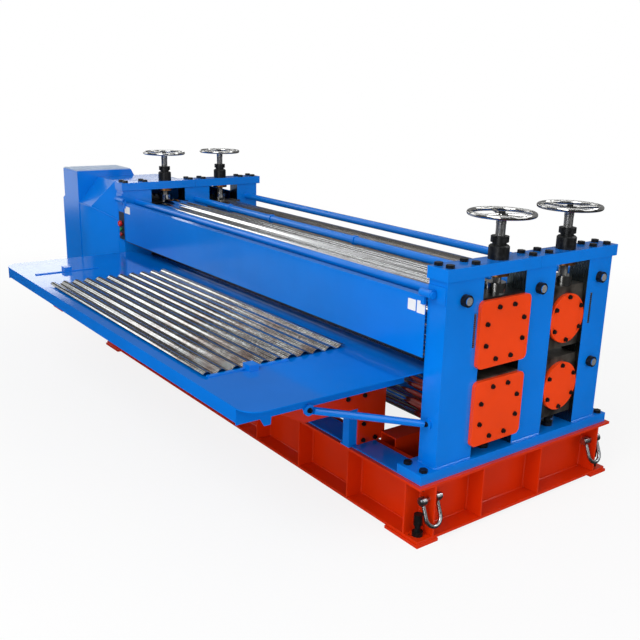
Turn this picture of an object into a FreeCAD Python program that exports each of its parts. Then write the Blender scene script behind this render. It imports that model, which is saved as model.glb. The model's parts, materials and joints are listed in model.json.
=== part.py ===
# Corrugated sheet roll former: a free-standing machine that rolls flat sheet into corrugated sheet.
# Frame: +X along the rolls towards the operator's free end, +Y from the output table to the infeed
# side, +Z up. The floor is Z = 0, and X = Y = 0 is the centre of the four main anchor holes.
import FreeCAD, Part
import math
import os
import re

import Sketcher
from FreeCAD import Placement, Rotation, Vector

# Driving dimensions in millimetres, and angles in degrees
SIZES = {
    # Stands and their beds
    "clear_span": 3320,  # between the inner faces of the two stands
    "column_thick": 114,  # columns along X
    "column_high": 885,  # columns above the bed plates
    "front_column_deep": 233,  # front column along Y
    "front_window": 287,  # opening for the front chocks
    "middle_column_deep": 219,  # middle column along Y
    "rear_window": 260,  # opening for the rear chocks
    "rear_column_deep": 187,  # rear column along Y
    "cap_thick": 58,  # plates that close the windows on top
    "cap_over_side": 8,  # cap beyond the column faces along X
    "cap_over_front": 10,  # cap beyond the front column
    "cap_over_rear": 28,  # cap beyond the rear column
    "cap_seam_in": 91,  # middle column's front face to the seam of the caps
    "cap_seam_gap": 0.5,  # open seam between the two caps of a stand
    "bed_plate_thick": 50,  # plates under the stands
    "bed_over_front": 101,  # bed plate in front of the front column
    "bed_over_rear": 92,  # bed plate behind the rear column
    "bed_over_out": 17,  # bed plate beyond the column's outer face
    "bed_over_in": 34,  # bed plate beyond the column's inner face
    "bed_rail_wide": 140,  # rails on the long base beams
    "bed_rail_thick": 8,  # rails on the long base beams
    # Base
    "base_high": 285,  # height of the base beams
    "base_over": 20,  # base beam flanges beyond the bed plates
    "flange_wide": 200,  # flanges of the base beams
    "flange_thick": 14,  # flanges of the base beams
    "web_thick": 10,  # webs of the base beams
    "stiffener_thick": 10,  # plates between the flanges
    "side_bays": 8,  # stiffener bays along a long beam
    "end_bay_first": 322,  # front web to the first end stiffener
    "end_bay_second": 426,  # first to second end stiffener
    "cross_beam_wide": 115,  # cross members of the base
    "cross_beam_above": 50,  # cross members above the beams' top
    "cross_beam_high": 150,  # cross members of the base
    "cross_beam_in": 302,  # outer cross members in from the stands
    "cross_beam_wall": 8,  # wall of the cross members
    "foot_plate_side": 230,  # foot plates along X, and across the drive base
    "foot_plate_deep": 135,  # foot plates of the main base along Y
    "foot_plate_thick": 15,  # foot plates
    "foot_plate_over": 8,  # foot plate beyond the flange edges
    "anchor_hole": 18,  # floor anchor holes
    "anchor_in_x": 70,  # anchor hole in from the base's end
    "anchor_in_y": 20,  # anchor hole in from the base's side
    "leveller_in_x": 49,  # levelling bolt in from the base's end
    "leveller_in_y": 45,  # levelling bolt in from the base's side
    "leveller_diameter": 30,  # levelling bolt shank
    "leveller_high": 110,  # levelling bolt above the lower flange
    "leveller_cap": 42,  # head of the levelling bolt
    "leveller_cap_high": 55,  # head of the levelling bolt
    "leveller_boss": 52,  # round nut of the levelling bolt on the flange
    "leveller_boss_high": 22,  # round nut of the levelling bolt on the flange
    "hole_gap": 0.5,  # clearance around bolts, on the radius
    # Rolls
    "front_axis_high": 224,  # lower front roll axis above the bed plates
    "rear_axis_high": 234,  # lower rear roll axis above the bed plates
    "flute_count": 16,  # flutes around a front roll
    "flute_pitch": 76,  # corrugation pitch of the sheet
    "flute_depth": 18,  # corrugation height of the sheet
    "flute_relief": 0.4,  # crests narrowed at the pitch circle, on each flank
    "front_nip": 1.5,  # gap between the front rolls on the line of centres
    "rear_roll_diameter": 360,  # plain rear rolls
    "rear_nip": 1.5,  # gap between the rear rolls
    "barrel_gap": 45,  # roll barrel to the stand's inner face
    "journal_diameter": 150,  # roll journals in the bushes
    "journal_gap": 0.05,  # journal in bush, on the radius
    "journal_short": 12,  # journal end behind the chock's outer face
    "shaft_diameter": 110,  # drive shafts of the rolls at the far end
    # Chocks, bushes and covers
    "guide_gap": 1,  # chock to window, each side
    "chock_out_half": 172,  # front chock from the axis away from the nip
    "rear_chock_out_half": 165,  # rear chock from the axis away from the nip
    "chock_facing_gap": 50,  # between the lower and upper chock
    "chock_flange_thick": 12,  # flange that keeps the chock in its window
    "chock_flange_wide": 18,  # flange beyond the window
    "chock_flange_gap": 0.5,  # flange to the column's inner face
    "bush_wall": 20,  # bronze bush
    "press_gap": 0.01,  # pressed or tapped fits, on the radius
    "cover_thick": 20,  # orange bearing covers
    "cover_lift": 0.5,  # front covers clear of the column's outer face
    "front_cover_wide": 340,  # square covers along Y
    "front_cover_high": 325,  # square covers along Z
    "front_cover_round": 28,  # corners of the square covers
    "front_bolt_circle": 270,  # bolt circle of the square covers
    "front_bolt_count": 8,  # bolts of a square cover
    "rear_cover_gap": 2,  # round cover to the window, each side
    "rear_bolt_circle": 222,  # bolt circle of the round covers
    "rear_bolt_count": 6,  # bolts of a round cover
    "shaft_gap": 3,  # drive shaft in a far cover, on the radius
    # Bolts
    "cap_bolt": 24,  # cap and bed bolts
    "cap_bolt_flats": 36,  # cap and bed bolts across the flats
    "cap_bolt_head": 15,  # cap and bed bolt heads
    "cap_bolt_grip": 40,  # cap bolt in the column
    "cap_bolt_row": 36,  # cap bolts from the stand's middle along X
    "cap_bolt_outer": 30,  # cap bolt from a column's outer edge
    "cap_bolt_inner": 43,  # cap bolt from a window's edge
    "cap_bolt_seam": 32,  # cap bolt from the seam
    "bed_bolt_outer": 27,  # bed bolt in from the bed plate's outer edge
    "bed_bolt_pitch": 106,  # bed bolts of a pair
    "bed_bolt_in": 37,  # bed bolt in from the bed plate's end
    "bed_bolt_out": 30,  # bed bolt's thread below the flange
    "small_bolt": 12,  # cover and bracket bolts
    "small_bolt_flats": 19,  # cover and bracket bolts across the flats
    "small_bolt_head": 8,  # cover and bracket bolt heads
    "small_bolt_grip": 25,  # cover bolt in the chock
    "washer_diameter": 24,  # washers of the small bolts
    "washer_thick": 2.5,  # washers of the small bolts
    # Adjusting screws and handwheels
    "screw_diameter": 45,  # adjusting screw
    "screw_end_diameter": 30,  # screw's end in the handwheel hub
    "thread_gap": 0.5,  # screw in its nut, on the radius
    "screw_foot_diameter": 92,  # pressure foot of the screw on its chock
    "screw_foot_high": 50,  # pressure foot of the screw on its chock
    "screw_nut_flange": 112,  # bronze nut under the cap
    "screw_nut_flange_thick": 18,  # bronze nut under the cap
    "screw_nut_barrel": 76,  # bronze nut inside the cap
    "nut_block_diameter": 98,  # black block on the cap
    "nut_block_high": 66,  # black block on the cap
    "nut_block_chamfer": 7,  # black block on the cap
    "nut_neck_diameter": 66,  # neck of the black block
    "nut_neck_high": 13,  # neck of the black block
    "lock_ring_diameter": 85,  # notched ring on the neck
    "lock_ring_high": 28,  # notched ring on the neck
    "lock_notch_wide": 9,  # notches of the ring
    "lock_notch_deep": 7,  # notches of the ring
    "wheel_diameter": 320,  # handwheel over the rim
    "rim_diameter": 22,  # round rim bar
    "spoke_diameter": 15,  # three spokes
    "wheel_high": 210,  # rim above the caps
    "hub_top_diameter": 62,  # handwheel hub at the spokes
    "hub_diameter": 47,  # handwheel hub below the spokes
    "hub_high": 48,  # handwheel hub
    "hub_nut_high": 9,  # nut on top of the hub
    "jack_diameter": 36,  # jack screws under the lower chocks
    "jack_flats": 55,  # jack screw nuts across the flats
    "jack_nut_high": 22,  # jack screw nuts
    "jack_sink": 30,  # jack screw in the bed plate
    # Tie rods
    "tie_diameter": 48,  # tie rods between the stands
    "tie_stud": 38,  # tie rod ends through the columns
    "tie_nut_diameter": 57,  # round nuts on the stands
    "tie_nut_thick": 26,  # round nuts on the stands
    "tie_stud_out": 30,  # stud beyond the column's outer face
    "tie_front_in": 114,  # front rod behind the front column's face
    "tie_front_down": 93,  # front rod below the caps
    "tie_middle_in": 12,  # middle rod behind the seam
    "tie_rear_in": 92,  # rear rods in front of the rear column's back
    "tie_down": 100,  # middle and rear upper rod below the caps
    "tie_rear_low": 330,  # rear lower rod above the bed plates
    "tie_collar_diameter": 60,  # collars on the middle rod
    "tie_collar_thick": 22,  # collars on the middle rod
    # Output table
    "table_gap": 6,  # table to the near stand and to the front columns
    "table_long": 3197,  # table along X
    "table_front_over": 838,  # table in front of the bed plates
    "table_high": 492,  # table top above the base beams
    "table_thick": 6,  # table sheet
    "table_round": 92,  # front corners of the table
    "skirt_high": 66,  # front skirt below the table top
    "side_skirt_high": 75,  # side skirts below the table top
    "skirt_thick": 5,  # skirts
    "skirt_inset": 88,  # side skirts in from the table's ends
    "ramp_deep": 218,  # lead-in lip between the columns
    "ramp_drop": 52,  # lead-in lip down to the nip
    "tab_wide": 60,  # tabs under the side skirts
    "tab_high": 35,  # tabs under the side skirts
    "tab_first_in": 117,  # first tab behind the table's front
    "tab_strut_in": 329,  # strut tab behind the table's front
    "tab_thick": 8,  # tabs under the side skirts
    # Table brackets, posts, struts and stops
    "bracket_in": 369,  # outer brackets in from the stands
    "bracket_bolt_front": 144,  # front bolt of a bracket, in front of the front column
    "bracket_bolt_post": 38,  # bolts through the post, in front of the front column
    "bracket_bolt_rear": 39,  # rear bolt of a bracket, behind the front column's face
    "bracket_bolt_top": 268,  # upper bolts above the base
    "bracket_bolt_middle": 115,  # middle bolt above the base
    "bracket_bolt_foot": 26,  # lower bolts above the base
    "bracket_thick": 10,  # bracket plate
    "bracket_rear_y": 104,  # bracket's rear edge behind the front columns' face
    "bracket_deep": 175,  # bracket at the base beam
    "bracket_reach": 850,  # bracket arm in front of the front columns' face
    "bracket_arm_low": 205,  # underside of the arm above the base beams
    "bracket_arm_level": 400,  # level part of the arm, in front of the columns' face
    "bracket_tip_high": 46,  # arm at its tip
    "bracket_flange": 30,  # flange along the rear edge
    "bracket_top_gap": 0.3,  # arm to the table's underside
    "post_wide": 80,  # blue posts along Y
    "post_thick": 50,  # blue posts along X
    "post_foot": 16,  # foot plate of a post beyond the post
    "post_foot_thick": 8,  # foot plate of a post
    "strut_diameter": 34,  # struts from the table to the front columns
    "strut_end_diameter": 52,  # flattened ends of the struts
    "strut_end_thick": 10,  # flattened ends of the struts
    "strut_low": 254,  # strut's lower bolt above the base beams
    "strut_bolt_in": 49,  # strut's lower bolt from the column's inner face
    "stop_long": 430,  # stop strips along Y
    "stop_wide": 20,  # stop strips
    "stop_wall": 2,  # wall of a clamp block beside its strip
    "stop_thick": 6,  # stop strips
    "near_stop_in": 468,  # near stop from the table's near edge
    "far_stop_in": 414,  # far stop from the table's far edge
    "stop_front_in": 80,  # stops behind the table's front edge
    "clamp_wide": 46,  # clamp blocks along X
    "clamp_deep": 50,  # clamp blocks along Y
    "clamp_high": 30,  # clamp blocks
    # Corrugated sheets
    "stack_long": 1980,  # finished sheets along X
    "stack_crests": 11,  # crests of a finished sheet
    "stack_thick": 1.5,  # the stack of thin sheets
    "stack_gap": 2,  # sheets to the near stop
    "stack_front_in": 66,  # front edge of the sheets behind the table's edge
    "stack_rest_gap": 0.3,  # sheets above the table
    # Guard
    "guard_thick": 4,  # guard sheet
    "guard_ahead": 16,  # guard in front of the front columns
    "guard_bottom": 564,  # guard's lower edge above the base beams
    "guard_top": 850,  # guard's upper edge above the base beams
    "guard_flange": 42,  # bent top flange of the guard
    "guard_far_short": 58,  # guard's far end in from the far stand
    "guard_end_gap": 5,  # top flange in from the stands
    "pivot_ahead": 26,  # guard pivot in front of the front columns
    "pivot_high": 871,  # guard pivot above the base beams
    "pivot_pin": 20,  # guard pivot pin
    "pivot_gap": 0.05,  # pivot pin in its barrel, on the radius
    "pivot_barrel": 36,  # guard's pivot barrel
    "pivot_reach": 40,  # barrel beyond the stand's inner face
    "pivot_root": 22,  # barrel on the guard
    "hinge_pad_thick": 7,  # pad on the front column
    "hinge_pad_high": 80,  # pad on the front column
    "hinge_lug_thick": 12,  # lug that holds the pin
    "hinge_lug_gap": 1,  # lug to barrel
    "pin_head_diameter": 42,  # head of the pivot pin
    "pin_head_thick": 8,  # head of the pivot pin
    "seal_thick": 5,  # rubber strip on the guard
    "seal_drop": 7,  # rubber strip below the guard
    "seal_high": 40,  # rubber strip
    # Shackles
    "shackle_bar": 20,  # bow of a lifting shackle
    "shackle_inside": 70,  # between the legs of the bow
    "shackle_long": 108,  # pin to the inside of the bow
    "shackle_pin": 22,  # shackle pin
    "shackle_eye": 46,  # eyes of the bow
    "shackle_eye_thick": 24,  # eyes of the bow along the pin
    "shackle_hole_gap": 0.1,  # pin in the beam's web, on the radius
    "shackle_in": 38,  # pin in from the web's edge
    "shackle_down": 95,  # pin below the beam's top
    "shackle_rest_gap": 0.3,  # bow to the web's edge
    # Drive at the far end
    "front_teeth": 32,  # gears of the front rolls
    "rear_teeth": 30,  # gears of the rear rolls
    "pinion_teeth": 10,  # drive pinion
    "gear_face": 90,  # gears along X
    "gear_out": 141,  # gears beyond the stand's outer face
    "gear_addendum": 9,  # tooth beyond the pitch circle
    "gear_dedendum": 13,  # tooth inside the pitch circle
    "gear_backlash": 3,  # play between the teeth at the pitch circle
    "pinion_shaft": 60,  # pinion shaft
    "housing_long": 435,  # gear housing along X
    "housing_wall": 6,  # gear housing sheet
    "housing_ahead": 35,  # housing in front of the bed plates
    "housing_down": 7,  # housing top below the cap tops
    "housing_chamfer_deep": 165,  # front chamfer of the housing
    "housing_chamfer_high": 201,  # front chamfer of the housing
    "housing_level_deep": 510,  # level part of the housing top
    "housing_slope_deep": 145,  # gentle slope of the housing top
    "housing_slope_drop": 33,  # gentle slope of the housing top
    "housing_tail_deep": 445,  # rear slope of the housing top
    "housing_tail_drop": 113,  # rear slope of the housing top
    "housing_clear": 1,  # housing to the bed plate and the caps
    "housing_taper_long": 201,  # tapered front corner along X
    "housing_taper_lap": 2,  # tapered panel in front of the column face
    "housing_fold_drop": 85,  # fall of the fold along the tapered corner
    "housing_peak_in": 104,  # top of the tapered corner beyond its start
    "cabinet_long": 310,  # cabinet along X
    "cabinet_deep": 481,  # cabinet along Y
    "cabinet_ahead": 6,  # cabinet in front of the housing
    "cabinet_above": 49,  # cabinet above the housing
    "cabinet_bevel_deep": 25,  # bevel at the cabinet's rear top edge
    "cabinet_wall": 4,  # cabinet sheet
    "lid_thick": 7,  # grey lid of the cabinet
    "lid_inset": 6,  # grey lid of the cabinet
    "side_cover_long": 58,  # shallow cover beyond the cabinet
    "drive_base_long": 1345,  # drive base beyond the main base
    "drive_front_in": 48,  # front drive beam behind the front base beam
    "drive_rear_in": 160,  # rear drive beam in front of the rear base beam
    "drive_mid_beam": 470,  # middle drive beam from the main base
    "gearmotor_plate": 20,  # plate under the geared motor
    "reducer_long": 360,  # reducer casing along X
    "reducer_wide": 400,  # reducer casing along Y
    "reducer_above": 230,  # reducer casing above the pinion shaft
    "reducer_gap": 40,  # reducer beyond the housing
    "motor_diameter": 300,  # motor
    "motor_long": 440,  # motor
    "motor_foot_wide": 200,  # motor foot
    "coupling_diameter": 120,  # coupling on the pinion shaft
    # Control box and scales
    "box_wide": 95,  # control box along X
    "box_deep": 16,  # control box along Y
    "box_high": 209,  # control box
    "box_low": 568,  # control box above the base beams
    "box_over": 40,  # control box past the far stand's inner face
    "box_wall": 3,  # control box sheet
    "button_stem": 16,  # button stems
    "button_gap": 0.4,  # button stem in the box, on the radius
    "button_proud": 9,  # button face in front of the box
    "button_diameter": 28,  # round buttons
    "mushroom_diameter": 42,  # emergency button
    "mushroom_proud": 20,  # emergency button in front of the box
    "emergency_down": 87,  # emergency button below the box top
    "start_down": 130,  # start button below the box top
    "stop_down": 170,  # stop button below the box top
    "button_travel_gap": 6,  # button's cap off the box when released
    "scale_wide": 12,  # scale strips
    "scale_thick": 2,  # scale strips
    "scale_long": 161,  # scale strips
    "scale_in": 50,  # scale strips from the window's edge
    "front_scale_low": 558,  # front scale above the bed plates
    "rear_scale_low": 545,  # rear scale above the bed plates
    "scale_screw": 8,  # scale screws
}

# Places and measures that follow from the driving dimensions
PLACES = {
    # Stands and their beds
    "stand_in_x": "clear_span / 2",
    "stand_mid_x": "stand_in_x + column_thick / 2",
    "stand_out_x": "stand_in_x + column_thick",
    "bed_in_x": "stand_in_x - bed_over_in",
    "bed_out_x": "stand_out_x + bed_over_out",
    "windows_deep": "front_window + middle_column_deep + rear_window",
    "bed_deep": "bed_over_front + front_column_deep + windows_deep + rear_column_deep + bed_over_rear",
    "bed_front_y": "-bed_deep / 2",
    "front_column_y": "bed_front_y + bed_over_front",
    "front_window_y": "front_column_y + front_column_deep",
    "middle_column_y": "front_window_y + front_window",
    "rear_window_y": "middle_column_y + middle_column_deep",
    "rear_column_y": "rear_window_y + rear_window",
    "rear_end_y": "rear_column_y + rear_column_deep",
    "seam_y": "middle_column_y + cap_seam_in",
    "front_axis_y": "front_window_y + front_window / 2",
    "rear_axis_y": "rear_window_y + rear_window / 2",
    # Base
    "base_out_x": "bed_out_x + base_over",
    "base_front_y": "bed_front_y - base_over",
    "side_beam_y": "base_front_y + flange_wide / 2",
    "end_beam_x": "base_out_x - flange_wide / 2",
    "base_top_z": "foot_plate_thick + base_high",
    "bed_top_z": "base_top_z + bed_plate_thick",
    "cap_z": "bed_top_z + column_high",
    "cap_top_z": "cap_z + cap_thick",
    # Rolls
    "front_pitch_r": "flute_count * flute_pitch / (2 * pi)",
    "front_low_z": "bed_top_z + front_axis_high",
    "front_high_z": "front_low_z + 2 * front_pitch_r + front_nip",
    "rear_low_z": "bed_top_z + rear_axis_high",
    "rear_high_z": "rear_low_z + rear_roll_diameter + rear_nip",
    "barrel_x": "stand_in_x - barrel_gap",
    # Chocks, bushes and covers
    "bush_r": "journal_diameter / 2 + journal_gap + bush_wall",
    "front_facing_half": "(front_high_z - front_low_z - chock_facing_gap) / 2",
    "rear_facing_half": "(rear_high_z - rear_low_z - chock_facing_gap) / 2",
    "front_chock_face": "column_thick / 2 + cover_lift",
    "rear_chock_face": "column_thick / 2 - cover_thick",
    "chock_back": "column_thick / 2 + chock_flange_gap + chock_flange_thick",
    "front_chock_top_z": "front_high_z + chock_out_half",
    "rear_chock_top_z": "rear_high_z + rear_chock_out_half",
    # Adjusting screws and handwheels
    "wheel_z": "cap_top_z + wheel_high",
    # Tie rods
    "tie_front_y": "front_column_y + tie_front_in",
    "tie_middle_y": "seam_y + tie_middle_in",
    "tie_rear_y": "rear_end_y - tie_rear_in",
    "tie_front_z": "cap_z - tie_front_down",
    "tie_high_z": "cap_z - tie_down",
    "tie_low_z": "bed_top_z + tie_rear_low",
    # Output table
    "table_near_x": "stand_in_x - table_gap",
    "table_far_x": "table_near_x - table_long",
    "table_front_y": "bed_front_y - table_front_over",
    "table_back_y": "front_column_y - table_gap",
    "table_z": "base_top_z + table_high",
    "skirt_near_x": "table_near_x - skirt_inset",
    "skirt_far_x": "table_far_x + skirt_inset",
    # Table brackets
    "bracket_x": "stand_in_x - bracket_in",
    # Guard
    "guard_near_x": "stand_in_x + guard_thick / 4",
    "guard_far_x": "-stand_in_x + guard_far_short",
    "guard_y": "front_column_y - guard_ahead",
    "guard_low_z": "base_top_z + guard_bottom",
    "guard_top_z": "base_top_z + guard_top",
    "pivot_y": "front_column_y - pivot_ahead",
    "pivot_z": "base_top_z + pivot_high",
    # Shackles
    "shackle_reach": "shackle_long + shackle_pin / 2",
    "shackle_clear_x": "shackle_in + shackle_bar / 2 + shackle_rest_gap",
    "shackle_lean": "asin(shackle_clear_x / (shackle_reach + shackle_bar / 2))",
    # Drive at the far end
    "axis_run_y": "rear_axis_y - front_axis_y",
    "axis_run_z": "rear_low_z - front_low_z",
    "axis_run": "sqrt(axis_run_y ^ 2 + axis_run_z ^ 2)",
    "gear_module": "2 * axis_run / (front_teeth + rear_teeth + 2 * pinion_teeth)",
    "pinion_share": "(front_teeth + pinion_teeth) / (front_teeth + rear_teeth + 2 * pinion_teeth)",
    "pinion_y": "front_axis_y + axis_run_y * pinion_share",
    "pinion_z": "front_low_z + axis_run_z * pinion_share",
    "gear_x": "-(stand_out_x + gear_out + gear_face / 2)",
    "housing_end_x": "-(stand_out_x + housing_long)",
    "housing_front_y": "bed_front_y - housing_ahead",
    "housing_top_z": "cap_top_z - housing_down",
    "chamfer_y": "housing_front_y + housing_chamfer_deep",
    "fold_z": "housing_top_z - housing_chamfer_high",
    "taper_x": "-(stand_out_x + housing_taper_long)",
    "level_y": "chamfer_y + housing_level_deep",
    "slope_y": "level_y + housing_slope_deep",
    "housing_rear_y": "slope_y + housing_tail_deep",
    "cabinet_end_x": "housing_end_x - cabinet_long",
    "cabinet_front_y": "housing_front_y - cabinet_ahead",
    "cabinet_rear_y": "cabinet_front_y + cabinet_deep",
    "cabinet_top_z": "housing_top_z + cabinet_above",
    "drive_end_x": "-(base_out_x + drive_base_long)",
    "drive_front_y": "base_front_y + drive_front_in + flange_wide / 2",
    "drive_rear_y": "-base_front_y - drive_rear_in - flange_wide / 2",
}

doc = FreeCAD.newDocument("corrugated_sheet_roll_former")
sheet = doc.addObject("Spreadsheet::Sheet", "Dims")
for row, (alias, value) in enumerate(SIZES.items(), 1):
    sheet.set(f"A{row}", alias)
    sheet.set(f"B{row}", str(value))
    sheet.setAlias(f"B{row}", alias)
doc.recompute()
NODES = []


def expr(formula):
    """Spell out a formula: named places in full, driving dimensions as cells of the sheet."""
    def spell(match):
        word = match.group(0)
        if word in PLACES:
            return "(" + expr(PLACES[word]) + ")"
        if word in SIZES:
            return "Dims." + word
        return word
    return re.sub(r"[a-z][a-z_0-9]*", spell, str(formula))


def num(formula):
    """Value of a formula, for the few shapes that are built from numbers."""
    value = sheet.evalExpression(expr(formula))
    return float(getattr(value, "Value", value))


# Drawing helpers
def bind(made, **formulas):
    """Tie properties of an object to formulas."""
    for prop, formula in formulas.items():
        made.setExpression(prop, expr(formula))
    return made


def put(made, x=0, y=0, z=0, turn=None):
    """Tie an object's place to formulas, with an optional fixed turn."""
    if turn:
        made.Placement = Placement(Vector(), Rotation(*turn))
    for letter, formula in (("x", x), ("y", y), ("z", z)):
        made.setExpression("Placement.Base." + letter, expr(formula))
    return made


def node(made, name):
    """Name an object as one of the machine's pieces."""
    made.Label = name
    NODES.append(made)
    return made


def box(x, y, z):
    """Box between two formulas along each axis."""
    made = doc.addObject("Part::Box", "block")
    bind(made, Length=f"({x[1]}) - ({x[0]})", Width=f"({y[1]}) - ({y[0]})", Height=f"({z[1]}) - ({z[0]})")
    return put(made, x[0], y[0], z[0])


TURNS = {
    "X": (Vector(0, 1, 0), 90),
    "Y": (Vector(1, 0, 0), -90),
    "Z": None,
    "-X": (Vector(0, 1, 0), -90),
    "-Y": (Vector(1, 0, 0), 90),
    "-Z": (Vector(1, 0, 0), 180),
}


def rod(axis, at, radius, length):
    """Cylinder from a point along a signed axis."""
    made = doc.addObject("Part::Cylinder", "round")
    bind(made, Radius=radius, Height=length)
    return put(made, *at, turn=TURNS[axis])


def fused(items):
    """One solid from several."""
    made = doc.addObject("Part::MultiFuse", "joined")
    made.Shapes = items
    return made


def together(items):
    """Several separate solids as one object."""
    made = doc.addObject("Part::Compound", "group")
    made.Links = items
    return made


def cut(base, tools):
    """Base less its tools."""
    made = doc.addObject("Part::Cut", "opened")
    made.Base = base
    made.Tool = tools[0] if len(tools) == 1 else together(tools)
    return made


def copy(master, x=0, y=0, z=0, turn=None):
    """Linked copy of a repeated piece."""
    made = doc.addObject("App::Link", "copy")
    made.LinkedObject = master
    made.LinkTransform = True
    return put(made, x, y, z, turn)


def feature(shape):
    """Shape worked out from the sheet's numbers."""
    made = doc.addObject("Part::Feature", "formed")
    made.Shape = shape
    return made


def both(sign, low, high):
    """Range along X at the near (+1) or far (-1) end."""
    return (low, high) if sign > 0 else (f"-({high})", f"-({low})")


def body():
    return doc.addObject("PartDesign::Body", "piece")


def sketch(owner, plane, lift=0):
    """Sketch on one of the body's own origin planes, lifted along the plane's normal."""
    made = owner.newObject("Sketcher::SketchObject", "outline")
    base = [item for item in owner.Origin.OriginFeatures if item.Role == plane][0]
    made.AttachmentSupport = [(base, "")]
    made.MapMode = "FlatFace"
    made.setExpression("AttachmentOffset.Base.z", expr(lift))
    return made


def pin_point(drawing, line, end, across, up):
    """Hold one end of a line at two formulas from the sketch's origin."""
    for kind, formula in (("DistanceX", across), ("DistanceY", up)):
        number = drawing.addConstraint(Sketcher.Constraint(kind, -1, 1, line, end, num(formula)))
        drawing.setExpression(f"Constraints[{number}]", expr(formula))


def outline(drawing, corners):
    """Closed outline of straight lines; a third value rounds a square corner."""
    spots = [Vector(num(c[0]), num(c[1]), 0) for c in corners]
    ends = []
    for i, corner in enumerate(corners):
        if len(corner) == 2:
            ends.append((corner, corner, None))
            continue
        before = (spots[i - 1] - spots[i]).normalize()
        after = (spots[(i + 1) % len(spots)] - spots[i]).normalize()
        across, up, radius = corner
        first = (f"({across}) + {round(before.x)} * ({radius})", f"({up}) + {round(before.y)} * ({radius})")
        last = (f"({across}) + {round(after.x)} * ({radius})", f"({up}) + {round(after.y)} * ({radius})")
        ends.append((first, last, radius))
    lines = []
    for i, here in enumerate(ends):
        there = ends[(i + 1) % len(ends)]
        start = Vector(num(here[1][0]), num(here[1][1]), 0)
        stop = Vector(num(there[0][0]), num(there[0][1]), 0)
        lines.append(drawing.addGeometry(Part.LineSegment(start, stop), False))
    for i, here in enumerate(ends):
        pin_point(drawing, lines[i], 1, *here[1])
        if here[2] is None:
            drawing.addConstraint(Sketcher.Constraint("Coincident", lines[i - 1], 2, lines[i], 1))
            continue
        pin_point(drawing, lines[i - 1], 2, *here[0])
        round_corner(drawing, here, lines[i - 1], lines[i])


def round_corner(drawing, ends, line_in, line_out):
    """Quarter circle between the ends of two lines at a square corner."""
    first = Vector(num(ends[0][0]), num(ends[0][1]), 0)
    last = Vector(num(ends[1][0]), num(ends[1][1]), 0)
    radius = num(ends[2])
    line = drawing.Geometry[line_in]
    away = (line.EndPoint - line.StartPoint).normalize()
    centre = last - away * radius
    if abs((first - centre).Length - radius) > 1e-6:
        centre = first + (last - first).projectToLine(Vector(), away)
    start = math.atan2(first.y - centre.y, first.x - centre.x)
    stop = math.atan2(last.y - centre.y, last.x - centre.x)
    turn = (stop - start) % (2 * math.pi)
    ccw = turn < math.pi
    if not ccw:
        start, stop = stop, start
    circle = Part.Circle(centre, Vector(0, 0, 1), radius)
    arc = drawing.addGeometry(Part.ArcOfCircle(circle, start, stop), False)
    ends_of_arc = (1, 2) if ccw else (2, 1)
    drawing.addConstraint(Sketcher.Constraint("Coincident", line_in, 2, arc, ends_of_arc[0]))
    drawing.addConstraint(Sketcher.Constraint("Coincident", arc, ends_of_arc[1], line_out, 1))
    number = drawing.addConstraint(Sketcher.Constraint("Radius", arc, radius))
    drawing.setExpression(f"Constraints[{number}]", expr(ends[2]))


def circle(drawing, across, up, radius):
    """Circle held by formulas."""
    spot = Vector(num(across), num(up), 0)
    ring = drawing.addGeometry(Part.Circle(spot, Vector(0, 0, 1), num(radius)), False)
    pin_point(drawing, ring, 3, across, up)
    number = drawing.addConstraint(Sketcher.Constraint("Radius", ring, num(radius)))
    drawing.setExpression(f"Constraints[{number}]", expr(radius))


def pad(owner, drawing, length, middle=False, back=False):
    made = owner.newObject("PartDesign::Pad", "pad")
    made.Profile = drawing
    made.setExpression("Length", expr(length))
    made.Midplane = middle
    made.Reversed = back
    owner.Tip = made
    return made


def pocket(owner, drawing, length, middle=False, back=False):
    """Cut along the sketch's normal, or against it with back."""
    made = owner.newObject("PartDesign::Pocket", "pocket")
    made.Profile = drawing
    made.setExpression("Length", expr(length))
    made.Midplane = middle
    made.Reversed = not back
    owner.Tip = made
    return made


def ring_of(owner, cutter, drawing, count):
    """Repeat a cut around the sketch's origin."""
    made = owner.newObject("PartDesign::PolarPattern", "ring")
    made.Originals = [cutter]
    made.Axis = (drawing, ["N_Axis"])
    made.Angle = 360
    made.setExpression("Occurrences", expr(count))
    owner.Tip = made
    return made


def turned(corners):
    """Body turned around Z from an outline of (radius, height) corners."""
    owner = body()
    drawing = sketch(owner, "XZ_Plane")
    outline(drawing, corners)
    made = owner.newObject("PartDesign::Revolution", "turned")
    made.Profile = drawing
    made.ReferenceAxis = (drawing, ["V_Axis"])
    made.Angle = 360
    owner.Tip = made
    return owner


def washer_bolt(shank, flats, head, grip, washer=None, washer_thick=0):
    """Hex bolt with its seat at the origin and its head towards +Z."""
    hexagon = doc.addObject("Part::Prism", "hexagon")
    hexagon.Polygon = 6
    bind(hexagon, Circumradius=f"({flats}) / sqrt(3)", Height=head)
    put(hexagon, 0, 0, washer_thick)
    pieces = [hexagon, rod("-Z", (0, 0, washer_thick), f"({shank}) / 2", f"({grip}) + ({washer_thick})")]
    if washer:
        pieces.append(rod("Z", (0, 0, 0), f"({washer}) / 2", washer_thick))
    return fused(pieces)


ENDS = (("near", 1), ("far", -1))
SIDES = (("front", -1), ("rear", 1))


# Base beams
def i_beam(length, web_long=None):
    """Beam along X welded from two flanges and a web, centred in X and Y, standing on Z = 0."""
    flange_x = (f"-({length}) / 2", f"({length}) / 2")
    web_x = (f"-({web_long or length}) / 2", f"({web_long or length}) / 2")
    flange_y = ("-flange_wide / 2", "flange_wide / 2")
    inside = "base_high - flange_thick"
    lower = box(flange_x, flange_y, ("0", "flange_thick"))
    web = box(web_x, ("-web_thick / 2", "web_thick / 2"), ("flange_thick", inside))
    upper = box(flange_x, flange_y, (inside, "base_high"))
    return together([lower, web, upper])


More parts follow.
